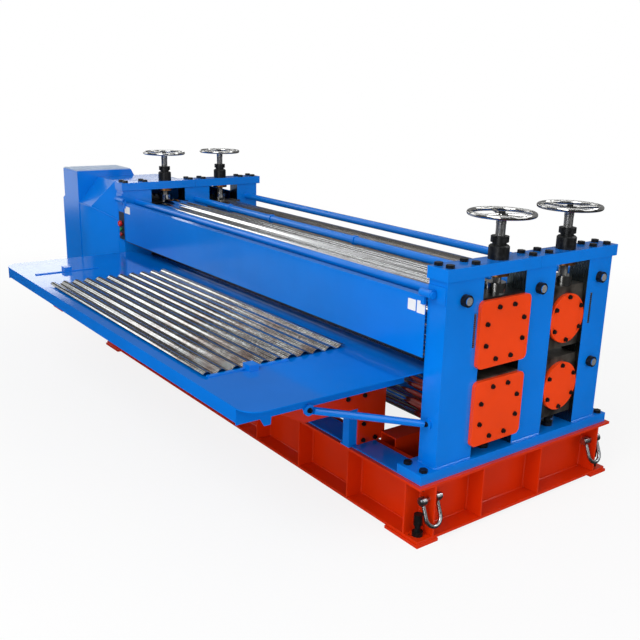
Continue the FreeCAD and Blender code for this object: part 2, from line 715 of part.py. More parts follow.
def side_beam():
    """Long beam with its holes; its outer side faces -Y."""
    tools = []
    for sign in (1, -1):
        for offset in ("bed_bolt_outer", "bed_bolt_outer + bed_bolt_pitch"):
            spot = (f"{sign} * (bed_out_x - ({offset}))", "base_over + bed_bolt_in - flange_wide / 2",
                    "base_high / 2")
            tools.append(rod("Z", spot, "cap_bolt / 2 + hole_gap", "base_high"))
        spot = (f"{sign} * (base_out_x - leveller_in_x)", "leveller_in_y - flange_wide / 2", "-1")
        tools.append(rod("Z", spot, "leveller_diameter / 2 + hole_gap", "base_high / 2"))
        spot = (f"{sign} * (base_out_x - anchor_in_x)", "anchor_in_y - flange_wide / 2", "-1")
        tools.append(rod("Z", spot, "anchor_hole / 2", "base_high / 2"))
    return cut(i_beam("2 * base_out_x"), tools)


def shackle_hole(x, y):
    """Hole for a shackle pin through the web of a beam along X."""
    return rod("Y", (x, f"{y} - flange_wide / 2", "base_top_z - shackle_down"),
               "shackle_pin / 2 + shackle_hole_gap", "flange_wide")


def stiffener():
    """Plate between the flanges, from the web to the flange's edge, standing across X."""
    half = "stiffener_thick / 2"
    return box((f"-({half})", half), ("-flange_wide / 2", "-web_thick / 2"),
               ("flange_thick", "base_high - flange_thick"))


def make_base():
    beam = side_beam()
    end_length = "-2 * side_beam_y - flange_wide"
    end_beam = put(i_beam(end_length, "-2 * side_beam_y - web_thick"), turn=(Vector(0, 0, 1), 90))
    plate = stiffener()
    pieces = []
    for name, sign in SIDES:
        turn = None if sign < 0 else (Vector(0, 0, 1), 180)
        beam_y = f"{-sign} * side_beam_y"
        placed = copy(beam, 0, beam_y, "foot_plate_thick", turn)
        pieces.append(cut(placed, [shackle_hole("base_out_x - shackle_in", beam_y)]))
        for i in range(int(num("side_bays")) + 1):
            spot = f"-end_beam_x + 2 * end_beam_x * {i} / side_bays"
            pieces.append(copy(plate, spot, beam_y, "foot_plate_thick", turn))
    for name, sign in ENDS:
        beam_x = f"{sign} * end_beam_x"
        pieces.append(copy(end_beam, beam_x, 0, "foot_plate_thick"))
        turn = (Vector(0, 0, 1), 90 * sign)
        for bay in ("end_bay_first", "end_bay_first + end_bay_second"):
            pieces.append(copy(plate, beam_x, f"side_beam_y + {bay}", "foot_plate_thick", turn))
    node(together(pieces), "base_beams")


def make_cross_members():
    half = "cross_beam_wide / 2"
    top = "base_top_z + cross_beam_above"
    deep = "-side_beam_y - flange_wide / 2"
    outer = box((f"-({half})", half), (f"-({deep})", deep), (f"{top} - cross_beam_high", top))
    hollow = box((f"cross_beam_wall - {half}", f"{half} - cross_beam_wall"),
                 (f"-({deep}) - 1", f"{deep} + 1"),
                 (f"{top} - cross_beam_high + cross_beam_wall", f"{top} - cross_beam_wall"))
    tube = cut(outer, [hollow])
    outer_x = "(stand_in_x - cross_beam_in)"
    spots = [f"{share} * {outer_x} / 3" for share in (3, 1, -1, -3)]
    node(together([copy(tube, spot) for spot in spots]), "base_cross_members")


def make_drive_base():
    """Two beams behind each other along X and two between them, beyond the far end of the base."""
    long_beam = i_beam("drive_base_long")
    cross_length = "drive_rear_y - drive_front_y - flange_wide"
    cross = i_beam(cross_length, f"{cross_length} + flange_wide - web_thick")
    put(cross, turn=(Vector(0, 0, 1), 90))
    cross_y = "(drive_rear_y + drive_front_y) / 2"
    mid_x = "-(base_out_x + drive_base_long / 2)"
    pieces = []
    for spot in ("drive_front_y", "drive_rear_y"):
        placed = copy(long_beam, mid_x, spot, "foot_plate_thick")
        pieces.append(cut(placed, [shackle_hole("drive_end_x + shackle_in", spot)]))
    for spot in ("-(base_out_x + drive_mid_beam)", "drive_end_x + flange_wide / 2"):
        pieces.append(copy(cross, spot, cross_y, "foot_plate_thick"))
    node(together(pieces), "drive_base")


def make_feet():
    plates = []
    levellers = []
    shank = "leveller_diameter / 2"
    boss = "leveller_boss / 2"
    cap = "leveller_cap / 2"
    cap_low = "flange_thick + leveller_high - leveller_cap_high"
    boss_high = "flange_thick + leveller_boss_high"
    bolt = turned([
        (0, 0), (shank, 0), (shank, "flange_thick"), (boss, "flange_thick"), (boss, boss_high),
        (shank, boss_high), (shank, cap_low), (cap, cap_low), (cap, "flange_thick + leveller_high"),
        (0, "flange_thick + leveller_high"),
    ])
    for _, end in ENDS:
        x = both(end, "base_out_x + foot_plate_over - foot_plate_side", "base_out_x + foot_plate_over")
        for _, sign in SIDES:
            outer_y = "-base_front_y + foot_plate_over"
            y = both(sign, f"{outer_y} - foot_plate_deep", outer_y)
            plate = box(x, y, ("0", "foot_plate_thick"))
            spot = (f"{end} * (base_out_x - anchor_in_x)", f"{-sign} * (base_front_y + anchor_in_y)", "-1")
            plates.append(cut(plate, [rod("Z", spot, "anchor_hole / 2", "foot_plate_thick + 2")]))
            levellers.append(copy(bolt, f"{end} * (base_out_x - leveller_in_x)",
                                  f"{-sign} * (base_front_y + leveller_in_y)", "foot_plate_thick"))
    far = ("drive_end_x - foot_plate_over", "drive_end_x - foot_plate_over + foot_plate_side")
    for spot in ("drive_front_y", "drive_rear_y"):
        half = "foot_plate_side / 2"
        plates.append(box(far, (f"{spot} - {half}", f"{spot} + {half}"), ("0", "foot_plate_thick")))
    node(together(plates), "foot_plates")
    node(together(levellers), "levelling_bolts")


# Stands
def cap_bolt_spots():
    """Cap bolts of one stand as (x from the stand's middle, y)."""
    rows = (
        "front_column_y + cap_bolt_outer",
        "front_window_y - cap_bolt_inner",
        "seam_y - cap_bolt_seam",
        "rear_window_y - cap_bolt_inner",
        "rear_column_y + cap_bolt_inner",
        "rear_end_y - cap_bolt_outer",
    )
    return [(f"{side} * cap_bolt_row", row) for row in rows for side in (-1, 1)]


TIE_RODS = (
    ("tie_front_y", "tie_front_z"),
    ("tie_middle_y", "tie_high_z"),
    ("tie_rear_y", "tie_high_z"),
    ("tie_rear_y", "tie_low_z"),
)


def make_columns():
    columns = (
        ("front_column_y", "front_column_deep"),
        ("middle_column_y", "middle_column_deep"),
        ("rear_column_y", "rear_column_deep"),
    )
    for name, end in ENDS:
        x = both(end, "stand_in_x", "stand_out_x")
        blocks = [box(x, (y, f"{y} + {deep}"), ("bed_top_z", "cap_z")) for y, deep in columns]
        holes = [rod("X", (f"({x[0]}) - 1", y, z), "tie_stud / 2 + hole_gap", "column_thick + 2")
                 for y, z in TIE_RODS]
        for across, y in cap_bolt_spots():
            spot = (f"{end} * stand_mid_x + {across}", y, "cap_z - cap_bolt_grip - 2")
            holes.append(rod("Z", spot, "cap_bolt / 2 + press_gap", "cap_bolt_grip + 3"))
        node(cut(together(blocks), holes), name + "_columns")


# Bolts of a table bracket: place in Y and Z
BRACKET_BOLTS = (
    ("front_column_y - bracket_bolt_front", "base_top_z + bracket_bolt_top"),
    ("front_column_y - bracket_bolt_post", "base_top_z + bracket_bolt_top"),
    ("front_column_y - bracket_bolt_post", "base_top_z + bracket_bolt_middle"),
    ("front_column_y - bracket_bolt_post", "base_top_z + bracket_bolt_foot"),
    ("front_column_y + bracket_bolt_rear", "base_top_z + bracket_bolt_foot"),
)


def bracket_bolts():
    """Bolts of the three table brackets."""
    small = washer_bolt("small_bolt", "small_bolt_flats", "small_bolt_head", "bracket_thick / 2",
                        "washer_diameter", "washer_thick")
    return [copy(small, f"{share} * bracket_x + bracket_thick / 2", y, z, TURNS["X"])
            for share in (1, 0, -1) for y, z in BRACKET_BOLTS]


def make_caps_and_beds():
    caps = []
    beds = []
    bolts = []
    long_bolt = washer_bolt("cap_bolt", "cap_bolt_flats", "cap_bolt_head", "cap_thick + cap_bolt_grip")
    bed_bolt = washer_bolt("cap_bolt", "cap_bolt_flats", "cap_bolt_head",
                           "bed_plate_thick + flange_thick + bed_bolt_out")
    bed_nut = doc.addObject("Part::Prism", "nut")
    bed_nut.Polygon = 6
    bind(bed_nut, Circumradius="cap_bolt_flats / sqrt(3)", Height="cap_bolt * 0.8")
    put(bed_nut, 0, 0, "-(bed_plate_thick + flange_thick) - cap_bolt * 0.8")
    bed_bolt = fused([bed_bolt, bed_nut])
    for _, end in ENDS:
        middle = f"{end} * stand_mid_x"
        x = both(end, "stand_in_x - cap_over_side", "stand_out_x + cap_over_side")
        spans = (
            ("front_column_y - cap_over_front", "seam_y - cap_seam_gap", "front_axis_y"),
            ("seam_y", "rear_end_y + cap_over_rear", "rear_axis_y"),
        )
        holes = []
        for across, y in cap_bolt_spots():
            spot = (f"{middle} + {across}", y, "cap_z - 1")
            holes.append(rod("Z", spot, "cap_bolt / 2 + hole_gap", "cap_thick + 2"))
        for low, high, axis in spans:
            bore = rod("Z", (middle, axis, "cap_z - 1"), "screw_nut_barrel / 2 + press_gap", "cap_thick + 2")
            caps.append(cut(box(x, (low, high), ("cap_z", "cap_top_z")), holes + [bore]))
        bolts += [copy(long_bolt, f"{middle} + {across}", y, "cap_top_z") for across, y in cap_bolt_spots()]
        bed = box(both(end, "bed_in_x", "bed_out_x"), ("bed_front_y", "-bed_front_y"),
                  ("base_top_z", "bed_top_z"))
        drilled = []
        for sign in (1, -1):
            for offset in ("bed_bolt_outer", "bed_bolt_outer + bed_bolt_pitch"):
                spot = (f"{end} * (bed_out_x - ({offset}))", f"{sign} * (bed_front_y + bed_bolt_in)")
                drilled.append(rod("Z", (*spot, "base_top_z - 1"), "cap_bolt / 2 + hole_gap",
                                   "bed_plate_thick + 2"))
                bolts.append(copy(bed_bolt, *spot, "bed_top_z"))
        for axis in ("front_axis_y", "rear_axis_y"):
            spot = (middle, axis, "bed_top_z - jack_sink")
            drilled.append(rod("Z", spot, "jack_diameter / 2 + press_gap", "jack_sink + 1"))
        beds.append(cut(bed, drilled))
    node(together(caps), "column_caps")
    node(together(beds), "bed_plates")
    node(together(bolts + bracket_bolts()), "frame_bolts")
    half = "bed_in_x"
    rail = box((f"-({half})", half), ("0", "bed_rail_wide"), ("base_top_z", "base_top_z + bed_rail_thick"))
    front_rail_y = "bed_front_y"
    rails = [copy(rail, 0, front_rail_y), copy(rail, 0, f"-({front_rail_y}) - bed_rail_wide")]
    node(together(rails), "bed_rails")


def make_tie_rods():
    rods = []
    nuts = []
    full = "stand_out_x + tie_stud_out"
    nut = turned([
        ("tie_stud / 2 + press_gap", 0), ("tie_nut_diameter / 2", 0),
        ("tie_nut_diameter / 2", "tie_nut_thick"),
        ("tie_stud / 2 + press_gap", "tie_nut_thick"),
    ])
    for index, (y, z) in enumerate(TIE_RODS):
        pieces = [
            rod("X", ("-stand_in_x", y, z), "tie_diameter / 2", "clear_span"),
            rod("X", (f"-({full})", y, z), "tie_stud / 2", f"2 * ({full})"),
        ]
        if index == 1:
            for share in (-0.34, -0.17, 0.11):
                spot = f"{share} * clear_span - tie_collar_thick / 2"
                pieces.append(rod("X", (spot, y, z), "tie_collar_diameter / 2", "tie_collar_thick"))
        rods.append(fused(pieces))
        nuts.append(copy(nut, "stand_out_x", y, z, TURNS["X"]))
        nuts.append(copy(nut, "-stand_out_x", y, z, TURNS["-X"]))
    node(together(rods), "tie_rods")
    node(together(nuts), "tie_rod_nuts")


# Chocks and covers
def chock(window, out_half, facing_half, face, circle_diameter, count, first_angle):
    """Bearing block around the roll axis along X; +X is the outside, -Z is away from the nip."""
    owner = body()
    half = f"({window}) / 2 - guide_gap"
    block = sketch(owner, "YZ_Plane", "-chock_back")
    outline(block, [(f"-({half})", f"-({out_half})"), (half, f"-({out_half})"), (half, facing_half),
                    (f"-({half})", facing_half)])
    pad(owner, block, f"chock_back + {face}")
    lip = f"({window}) / 2 + chock_flange_wide"
    flange = sketch(owner, "YZ_Plane", "-chock_back")
    outline(flange, [(f"-({lip})", f"-({out_half})"), (lip, f"-({out_half})"), (lip, facing_half),
                     (f"-({lip})", facing_half)])
    pad(owner, flange, "chock_flange_thick")
    bore = sketch(owner, "YZ_Plane", "-chock_back - 1")
    circle(bore, 0, 0, "bush_r + press_gap")
    pocket(owner, bore, f"chock_back + {face} + 2")
    tapped = sketch(owner, "YZ_Plane", f"{face} - small_bolt_grip - 1")
    reach = f"({circle_diameter}) / 2"
    circle(tapped, f"{reach} * cos({first_angle})", f"{reach} * sin({first_angle})",
           "small_bolt / 2 + press_gap")
    ring_of(owner, pocket(owner, tapped, "small_bolt_grip + 2"), tapped, count)
    return owner


def bush(face):
    """Bronze bush along X through a chock."""
    owner = body()
    drawing = sketch(owner, "YZ_Plane", "-chock_back")
    circle(drawing, 0, 0, "bush_r")
    circle(drawing, 0, 0, "journal_diameter / 2 + journal_gap")
    pad(owner, drawing, f"chock_back + {face}")
    return owner


def square_cover(bored):
    owner = body()
    drawing = sketch(owner, "YZ_Plane")
    across = "front_cover_wide / 2"
    up = "front_cover_high / 2"
    corners = [(f"{a} * ({across})", f"{b} * ({up})", "front_cover_round")
               for a, b in ((-1, -1), (1, -1), (1, 1), (-1, 1))]
    outline(drawing, corners)
    if bored:
        circle(drawing, 0, 0, "shaft_diameter / 2 + shaft_gap")
    pad(owner, drawing, "cover_thick")
    drill_cover(owner, "front_bolt_circle / 2", "22.5", "front_bolt_count")
    return owner


def round_cover(bored):
    owner = body()
    drawing = sketch(owner, "YZ_Plane")
    circle(drawing, 0, 0, "rear_window / 2 - rear_cover_gap")
    if bored:
        circle(drawing, 0, 0, "shaft_diameter / 2 + shaft_gap")
    pad(owner, drawing, "cover_thick")
    drill_cover(owner, "rear_bolt_circle / 2", "90", "rear_bolt_count")
    return owner


def drill_cover(owner, reach, angle, count):
    hole = sketch(owner, "YZ_Plane", "-1")
    circle(hole, f"{reach} * cos({angle})", f"{reach} * sin({angle})", "small_bolt / 2 + hole_gap")
    ring_of(owner, pocket(owner, hole, "cover_thick + 2"), hole, count)


# Each set of chocks: axis in Y, its low and high Z, outer face from the stand's middle, and its bolts
SETS = {
    "front": dict(y="front_axis_y", low="front_low_z", high="front_high_z", face="front_chock_face",
                  circle="front_bolt_circle", count="front_bolt_count", angle="22.5"),
    "rear": dict(y="rear_axis_y", low="rear_low_z", high="rear_high_z", face="rear_chock_face",
                 circle="rear_bolt_circle", count="rear_bolt_count", angle="90"),
}


def cover_bolts(master, spec, end, z):
    """Bolts of one cover, on its outer face."""
    bolts = []
    for i in range(int(num(spec["count"]))):
        angle = f"({spec['angle']} + 360 * {i} / {spec['count']})"
        y = f"{spec['y']} + {spec['circle']} / 2 * cos({angle})"
        height = f"{z} + {spec['circle']} / 2 * sin({angle})"
        x = f"{end} * (stand_mid_x + {spec['face']} + cover_thick)"
        bolts.append(copy(master, x, y, height, TURNS["X" if end > 0 else "-X"]))
    return bolts


def make_chocks():
    small = washer_bolt("small_bolt", "small_bolt_flats", "small_bolt_head",
                        "cover_thick + small_bolt_grip", "washer_diameter", "washer_thick")
    lower = {"chocks": [], "covers": [], "bolts": []}
    for name, spec in SETS.items():
        if name == "front":
            block = chock("front_window", "chock_out_half", "front_facing_half", spec["face"],
                          spec["circle"], spec["count"], spec["angle"])
            covers = {1: square_cover(False), -1: square_cover(True)}
        else:
            block = chock("rear_window", "rear_chock_out_half", "rear_facing_half", spec["face"],
                          spec["circle"], spec["count"], spec["angle"])
            covers = {1: round_cover(False), -1: round_cover(True)}
        sleeve = bush(spec["face"])
        upper = {"chocks": [], "covers": [], "bolts": []}
        for _, end in ENDS:
            middle = f"{end} * stand_mid_x"
            away = f"{end} * (stand_mid_x + {spec['face']})"
            round_z = (Vector(0, 0, 1), 0 if end > 0 else 180)
            flipped = (Vector(1, 0, 0), 180) if end > 0 else (Vector(0, 1, 0), 180)
            lower["chocks"].append(copy(block, middle, spec["y"], spec["low"], round_z))
            upper["chocks"].append(copy(block, middle, spec["y"], spec["high"], flipped))
            for group, height in ((lower, spec["low"]), (upper, spec["high"])):
                group["chocks"].append(copy(sleeve, middle, spec["y"], height, round_z))
                group["covers"].append(copy(covers[end], away, spec["y"], height, round_z))
                group["bolts"] += cover_bolts(small, spec, end, height)
        node(together(upper["chocks"]), name + "_upper_chocks")
        node(together(upper["covers"]), name + "_upper_covers")
        node(together(upper["bolts"]), name + "_cover_bolts")
    node(together(lower["chocks"]), "lower_chocks")
    node(together(lower["covers"]), "lower_covers")
    node(together(lower["bolts"]), "lower_cover_bolts")


def make_jacks():
    """Screw in the bed plate with a lock nut below and a head nut under each lower chock."""
    jacks = []
    for low, half, axis in (("front_low_z", "chock_out_half", "front_axis_y"),
                            ("rear_low_z", "rear_chock_out_half", "rear_axis_y")):
        top = f"({low} - {half})"
        for _, end in ENDS:
            at = (f"{end} * stand_mid_x", axis)
            pieces = [rod("Z", (*at, "bed_top_z - jack_sink"), "jack_diameter / 2",
                          f"{top} - bed_top_z + jack_sink")]
            for foot in ("bed_top_z", f"{top} - jack_nut_high"):
                nut = doc.addObject("Part::Prism", "nut")
                nut.Polygon = 6
                bind(nut, Circumradius="jack_flats / sqrt(3)", Height="jack_nut_high")
                pieces.append(put(nut, *at, foot))
            jacks.append(fused(pieces))
    node(together(jacks), "jack_screws")


# Rolls and gears
def ring_point(radius, angle):
    """Point in the YZ plane at an angle from +Y, in radians."""
    return Vector(0, radius * math.cos(angle), radius * math.sin(angle))


def arc_of(first, through, last):
    return Part.Arc(first, through, last).toShape()


def fluted_outline(phase):
    """Closed wire of a fluted barrel: an arc over each crest and an arc through each valley."""
    count = int(num("flute_count"))
    pitch_r = num("front_pitch_r")
    half_depth = num("flute_depth / 2")
    relief = num("flute_relief") / pitch_r
    step = 2 * math.pi / count
    edges = []
    for i in range(count):
        crest = phase + i * step
        rise = crest - step / 4 + relief
        fall = crest + step / 4 - relief
        valley = crest + step / 2
        next_rise = crest + step * 3 / 4 + relief
        edges.append(arc_of(ring_point(pitch_r, rise), ring_point(pitch_r + half_depth, crest),
                            ring_point(pitch_r, fall)))
        edges.append(arc_of(ring_point(pitch_r, fall), ring_point(pitch_r - half_depth, valley),
                            ring_point(pitch_r, next_rise)))
    return Part.Wire(edges)


def roll_shafts(y, z, face):
    """Journals in both chocks and the drive shaft through the far one, about the axis at (y, z)."""
    near = num(f"stand_mid_x + {face} - journal_short")
    far = num(f"stand_mid_x + {face}")
    gear_end = num("-gear_x + gear_face / 2 + 20")
    start = Vector(-far, num(y), num(z))
    journal = Part.makeCylinder(num("journal_diameter / 2"), far + near, start, Vector(1, 0, 0))
    start = Vector(-gear_end, num(y), num(z))
    shaft = Part.makeCylinder(num("shaft_diameter / 2"), gear_end, start, Vector(1, 0, 0))
    return journal.fuse(shaft)


def fluted_roll(y, z, face, phase):
    barrel = Part.Face(fluted_outline(phase)).extrude(Vector(num("2 * barrel_x"), 0, 0))
    barrel.translate(Vector(-num("barrel_x"), num(y), num(z)))
    return barrel.fuse(roll_shafts(y, z, face)).removeSplitter()


def plain_roll(y, z, face):
    start = Vector(-num("barrel_x"), num(y), num(z))
    barrel = Part.makeCylinder(num("rear_roll_diameter / 2"), num("2 * barrel_x"), start, Vector(1, 0, 0))
    return barrel.fuse(roll_shafts(y, z, face)).removeSplitter()


def make_rolls():
    step = 2 * math.pi / num("flute_count")
    lower = fluted_roll("front_axis_y", "front_low_z", "front_chock_face", math.pi / 2)
    upper = fluted_roll("front_axis_y", "front_high_z", "front_chock_face", -math.pi / 2 + step / 2)
    node(feature(lower), "front_lower_roll")
    node(feature(upper), "front_upper_roll")
    node(feature(plain_roll("rear_axis_y", "rear_low_z", "rear_chock_face")), "rear_lower_roll")
    node(feature(plain_roll("rear_axis_y", "rear_high_z", "rear_chock_face")), "rear_upper_roll")


def gear_wire(teeth, phase):
    """Closed wire of an involute gear, one tooth centred on the phase angle."""
    pitch_r = num("gear_module") * teeth / 2
    tip_r = pitch_r + num("gear_addendum")
    root_r = pitch_r - num("gear_dedendum")
    pressure = math.radians(20)
    base_r = pitch_r * math.cos(pressure)
    half_tooth = math.pi / (2 * teeth) - num("gear_backlash") / (4 * pitch_r)

    def half_angle(radius):
        """Half the tooth's angle at a radius; straight towards the centre inside the base circle."""
        slope = math.acos(min(1, base_r / max(radius, base_r)))
        return half_tooth + (math.tan(pressure) - pressure) - (math.tan(slope) - slope)

    knee_r = max(base_r, root_r + 1)
    middle_r = (knee_r + tip_r) / 2
    step = 2 * math.pi / teeth
    edges = []
    for i in range(teeth):
        centre = phase + i * step
        root_half = half_angle(root_r)
        rise = [ring_point(r, centre - half_angle(r)) for r in (knee_r, middle_r, tip_r)]
        fall = [ring_point(r, centre + half_angle(r)) for r in (tip_r, middle_r, knee_r)]
        foot_in = ring_point(root_r, centre - root_half)
        foot_out = ring_point(root_r, centre + root_half)
        next_foot = ring_point(root_r, centre + step - root_half)
        edges.append(Part.LineSegment(foot_in, rise[0]).toShape())
        edges.append(arc_of(*rise))
        edges.append(arc_of(rise[2], ring_point(tip_r, centre), fall[0]))
        edges.append(arc_of(*fall))
        edges.append(Part.LineSegment(fall[2], foot_out).toShape())
        edges.append(arc_of(foot_out, ring_point(root_r, centre + step / 2), next_foot))
    return Part.Wire(edges)


def gear(teeth, y, z, phase, shaft):
    blank = Part.Face(gear_wire(teeth, phase)).extrude(Vector(num("gear_face"), 0, 0))
    length = num("gear_face")
    bore_radius = num(f"{shaft} / 2 + press_gap")
    bore = Part.makeCylinder(bore_radius, length + 2, Vector(-1, 0, 0), Vector(1, 0, 0))
    made = blank.cut(bore)
    made.translate(Vector(num("gear_x") - length / 2, num(y), num(z)))
    return made


def make_gears():
    """Phases follow the mesh: what one gear shows off the line of centres, the next one answers."""
    front, rear, small = (int(num(name)) for name in ("front_teeth", "rear_teeth", "pinion_teeth"))
    up = math.pi / 2
    line = math.atan2(num("axis_run_z"), num("axis_run_y"))
    front_low = up
    front_high = -up + math.pi / front
    off_front = (front_low - line) % (2 * math.pi / front)
    pinion = line + math.pi - off_front * front / small + math.pi / small
    off_pinion = (pinion - line) % (2 * math.pi / small)
    rear_low = line + math.pi - off_pinion * small / rear + math.pi / rear
    off_rear = (rear_low - up) % (2 * math.pi / rear)
    rear_high = -up - off_rear + math.pi / rear
    for name, teeth, y, z, phase in (
        ("front_lower_gear", front, "front_axis_y", "front_low_z", front_low),
        ("front_upper_gear", front, "front_axis_y", "front_high_z", front_high),
        ("rear_lower_gear", rear, "rear_axis_y", "rear_low_z", rear_low),
        ("rear_upper_gear", rear, "rear_axis_y", "rear_high_z", rear_high),
    ):
        node(feature(gear(teeth, y, z, phase, "shaft_diameter")), name)
    wheel = feature(gear(small, "pinion_y", "pinion_z", pinion, "pinion_shaft"))
    at = ("pinion_y", "pinion_z")
    start = "housing_end_x - reducer_gap"
    shaft = rod("X", (start, *at), "pinion_shaft / 2", f"gear_x + gear_face / 2 + 20 - ({start})")
    hub = cut(rod("X", (start, *at), "coupling_diameter / 2", "reducer_gap - housing_wall"),
              [rod("X", (f"{start} - 1", *at), "pinion_shaft / 2 + press_gap", "reducer_gap + 2")])
    node(together([wheel, shaft, hub]), "drive_pinion")


# Adjusting screws
def make_screws():
    bore = "screw_diameter / 2 + thread_gap"
    nut = turned([
        (bore, "-screw_nut_flange_thick"), ("screw_nut_flange / 2", "-screw_nut_flange_thick"),
        ("screw_nut_flange / 2", 0), ("screw_nut_barrel / 2", 0), ("screw_nut_barrel / 2", "cap_thick"),
        (bore, "cap_thick"),
    ])
    outer = "nut_block_diameter / 2"
    neck = "nut_neck_diameter / 2"
    neck_top = "nut_block_high + nut_neck_high"
    block = turned([
        (bore, 0), (outer, 0), (outer, "nut_block_high - nut_block_chamfer"),
        (f"{outer} - nut_block_chamfer", "nut_block_high"), (neck, "nut_block_high"), (neck, neck_top),
        (bore, neck_top),
    ])
    ring = body()
    drawing = sketch(ring, "XY_Plane")
    circle(drawing, 0, 0, "lock_ring_diameter / 2")
    circle(drawing, 0, 0, bore)
    pad(ring, drawing, "lock_ring_high")
    notch = sketch(ring, "XY_Plane", "-1")
    half = "lock_notch_wide / 2"
    inner = "lock_ring_diameter / 2 - lock_notch_deep"
    outer_edge = "lock_ring_diameter"
    outline(notch, [(inner, f"-({half})"), (outer_edge, f"-({half})"), (outer_edge, half), (inner, half)])
    ring_of(ring, pocket(ring, notch, "lock_ring_high + 2"), notch, "4")
    nuts = []
    blocks = []
    rings = []
    for name, end in ENDS:
        for axis in ("front_axis_y", "rear_axis_y"):
            middle = f"{end} * stand_mid_x"
            nuts.append(copy(nut, middle, axis, "cap_z"))
            blocks.append(copy(block, middle, axis, "cap_top_z"))
            rings.append(copy(ring, middle, axis, f"cap_top_z + {neck_top}", (Vector(0, 0, 1), 20)))
    node(together(nuts), "screw_nuts")
    node(together(blocks), "nut_blocks")
    node(together(rings), "lock_rings")


def handwheel():
    """Rim, three spokes and hub around Z, with the rim's middle at Z = 0."""
    rim = doc.addObject("Part::Torus", "rim")
    bind(rim, Radius1="(wheel_diameter - rim_diameter) / 2", Radius2="rim_diameter / 2")
    top = "hub_top_diameter / 2"
    low = "hub_diameter / 2"
    bore = "screw_end_diameter / 2 + press_gap"
    hub = turned([
        (bore, 0), (top, 0), (top, "-hub_high / 5"), (low, "-hub_high / 2"), (low, "-hub_high"),
        (bore, "-hub_high"),
    ])
    reach = "(wheel_diameter - rim_diameter) / 2 - screw_end_diameter / 2 - 4"
    pieces = [rim, hub]
    for i in range(3):
        spoke = doc.addObject("Part::Cylinder", "spoke")
        bind(spoke, Radius="spoke_diameter / 2", Height=reach)
        start = "screw_end_diameter / 2 + 4"
        angle = 120 * i
        turn = Rotation(Vector(0, 0, 1), angle) * Rotation(Vector(0, 1, 0), 88)
        spoke.Placement = Placement(Vector(), turn)
        spoke.setExpression("Placement.Base.x", expr(f"({start}) * cos({angle})"))
        spoke.setExpression("Placement.Base.y", expr(f"({start}) * sin({angle})"))
        spoke.setExpression("Placement.Base.z", expr("-spoke_diameter / 2 + 2"))
        pieces.append(spoke)
    return fused(pieces)


def make_handwheels():
    wheel = handwheel()
    phases = {"near_front": 150, "near_rear": 62, "far_front": 75, "far_rear": 210}
    for name, end in ENDS:
        for side, axis, top in (("front", "front_axis_y", "front_chock_top_z"),
                                ("rear", "rear_axis_y", "rear_chock_top_z")):
            long_part = f"wheel_z - hub_high - {top}"
            thick = "screw_diameter / 2"
            thin = "screw_end_diameter / 2"
            end_z = f"{long_part} + hub_high"
            screw = turned([
                (0, 0), (thick, 0), (thick, long_part), (thin, long_part), (thin, end_z), (0, end_z),
            ])
            cap = turned([(0, 0), (thin, 0), (thin, "hub_nut_high"), (0, "hub_nut_high")])
            bore = f"{thick} + press_gap"
            edge = "screw_foot_diameter / 2"
            foot = turned([(bore, 0), (edge, 0), (edge, "screw_foot_high"), (bore, "screw_foot_high")])
            spot = (f"{end} * stand_mid_x", axis)
            put(screw, *spot, top)
            put(foot, *spot, top)
            put(cap, *spot, "wheel_z")
            turn = (Vector(0, 0, 1), phases[f"{name}_{side}"])
            pieces = [copy(wheel, *spot, "wheel_z", turn), screw, cap, foot]
            node(together(pieces), f"{name}_{side}_handwheel")


# Output table
def make_table():
    owner = body()
    plan = sketch(owner, "XY_Plane")
    outline(plan, [
        ("table_far_x", "table_front_y", "table_round"), ("table_near_x", "table_front_y", "table_round"),
        ("table_near_x", "table_back_y"), ("table_far_x", "table_back_y"),
    ])
    pad(owner, plan, "table_thick")
    put(owner, 0, 0, "table_z - table_thick")
    ramp = body()
    side = sketch(ramp, "YZ_Plane", "table_far_x")
    end_y = "table_back_y + ramp_deep"
    outline(side, [
        ("table_back_y", "table_z - table_thick"), (end_y, "table_z - table_thick - ramp_drop"),
        (end_y, "table_z - ramp_drop"), ("table_back_y", "table_z"),
    ])
    pad(ramp, side, "table_long")
    under = "table_z - table_thick"
    pieces = [owner, ramp]
    pieces.append(box(("skirt_far_x", "skirt_near_x"), ("table_front_y", "table_front_y + skirt_thick"),
                      ("table_z - skirt_high", under)))
    for low in ("skirt_far_x", "skirt_near_x - skirt_thick"):
        pieces.append(box((low, f"{low} + skirt_thick"), ("table_front_y", "table_back_y - skirt_thick * 5"),
                          ("table_z - side_skirt_high", under)))
    for low in ("skirt_far_x", "skirt_near_x - tab_thick"):
        for inset in ("tab_first_in", "tab_strut_in"):
            y = f"table_front_y + {inset}"
            tab = body()
            face = sketch(tab, "YZ_Plane", low)
            foot = "table_z - side_skirt_high - tab_high"
            outline(face, [(y, under), (y, "table_z - side_skirt_high"), (f"{y} + tab_wide / 3", foot),
                           (f"{y} + tab_wide * 0.85", foot), (f"{y} + tab_wide", under)])
            pad(tab, face, "tab_thick")
            pieces.append(tab)
    node(fused(pieces), "output_table")


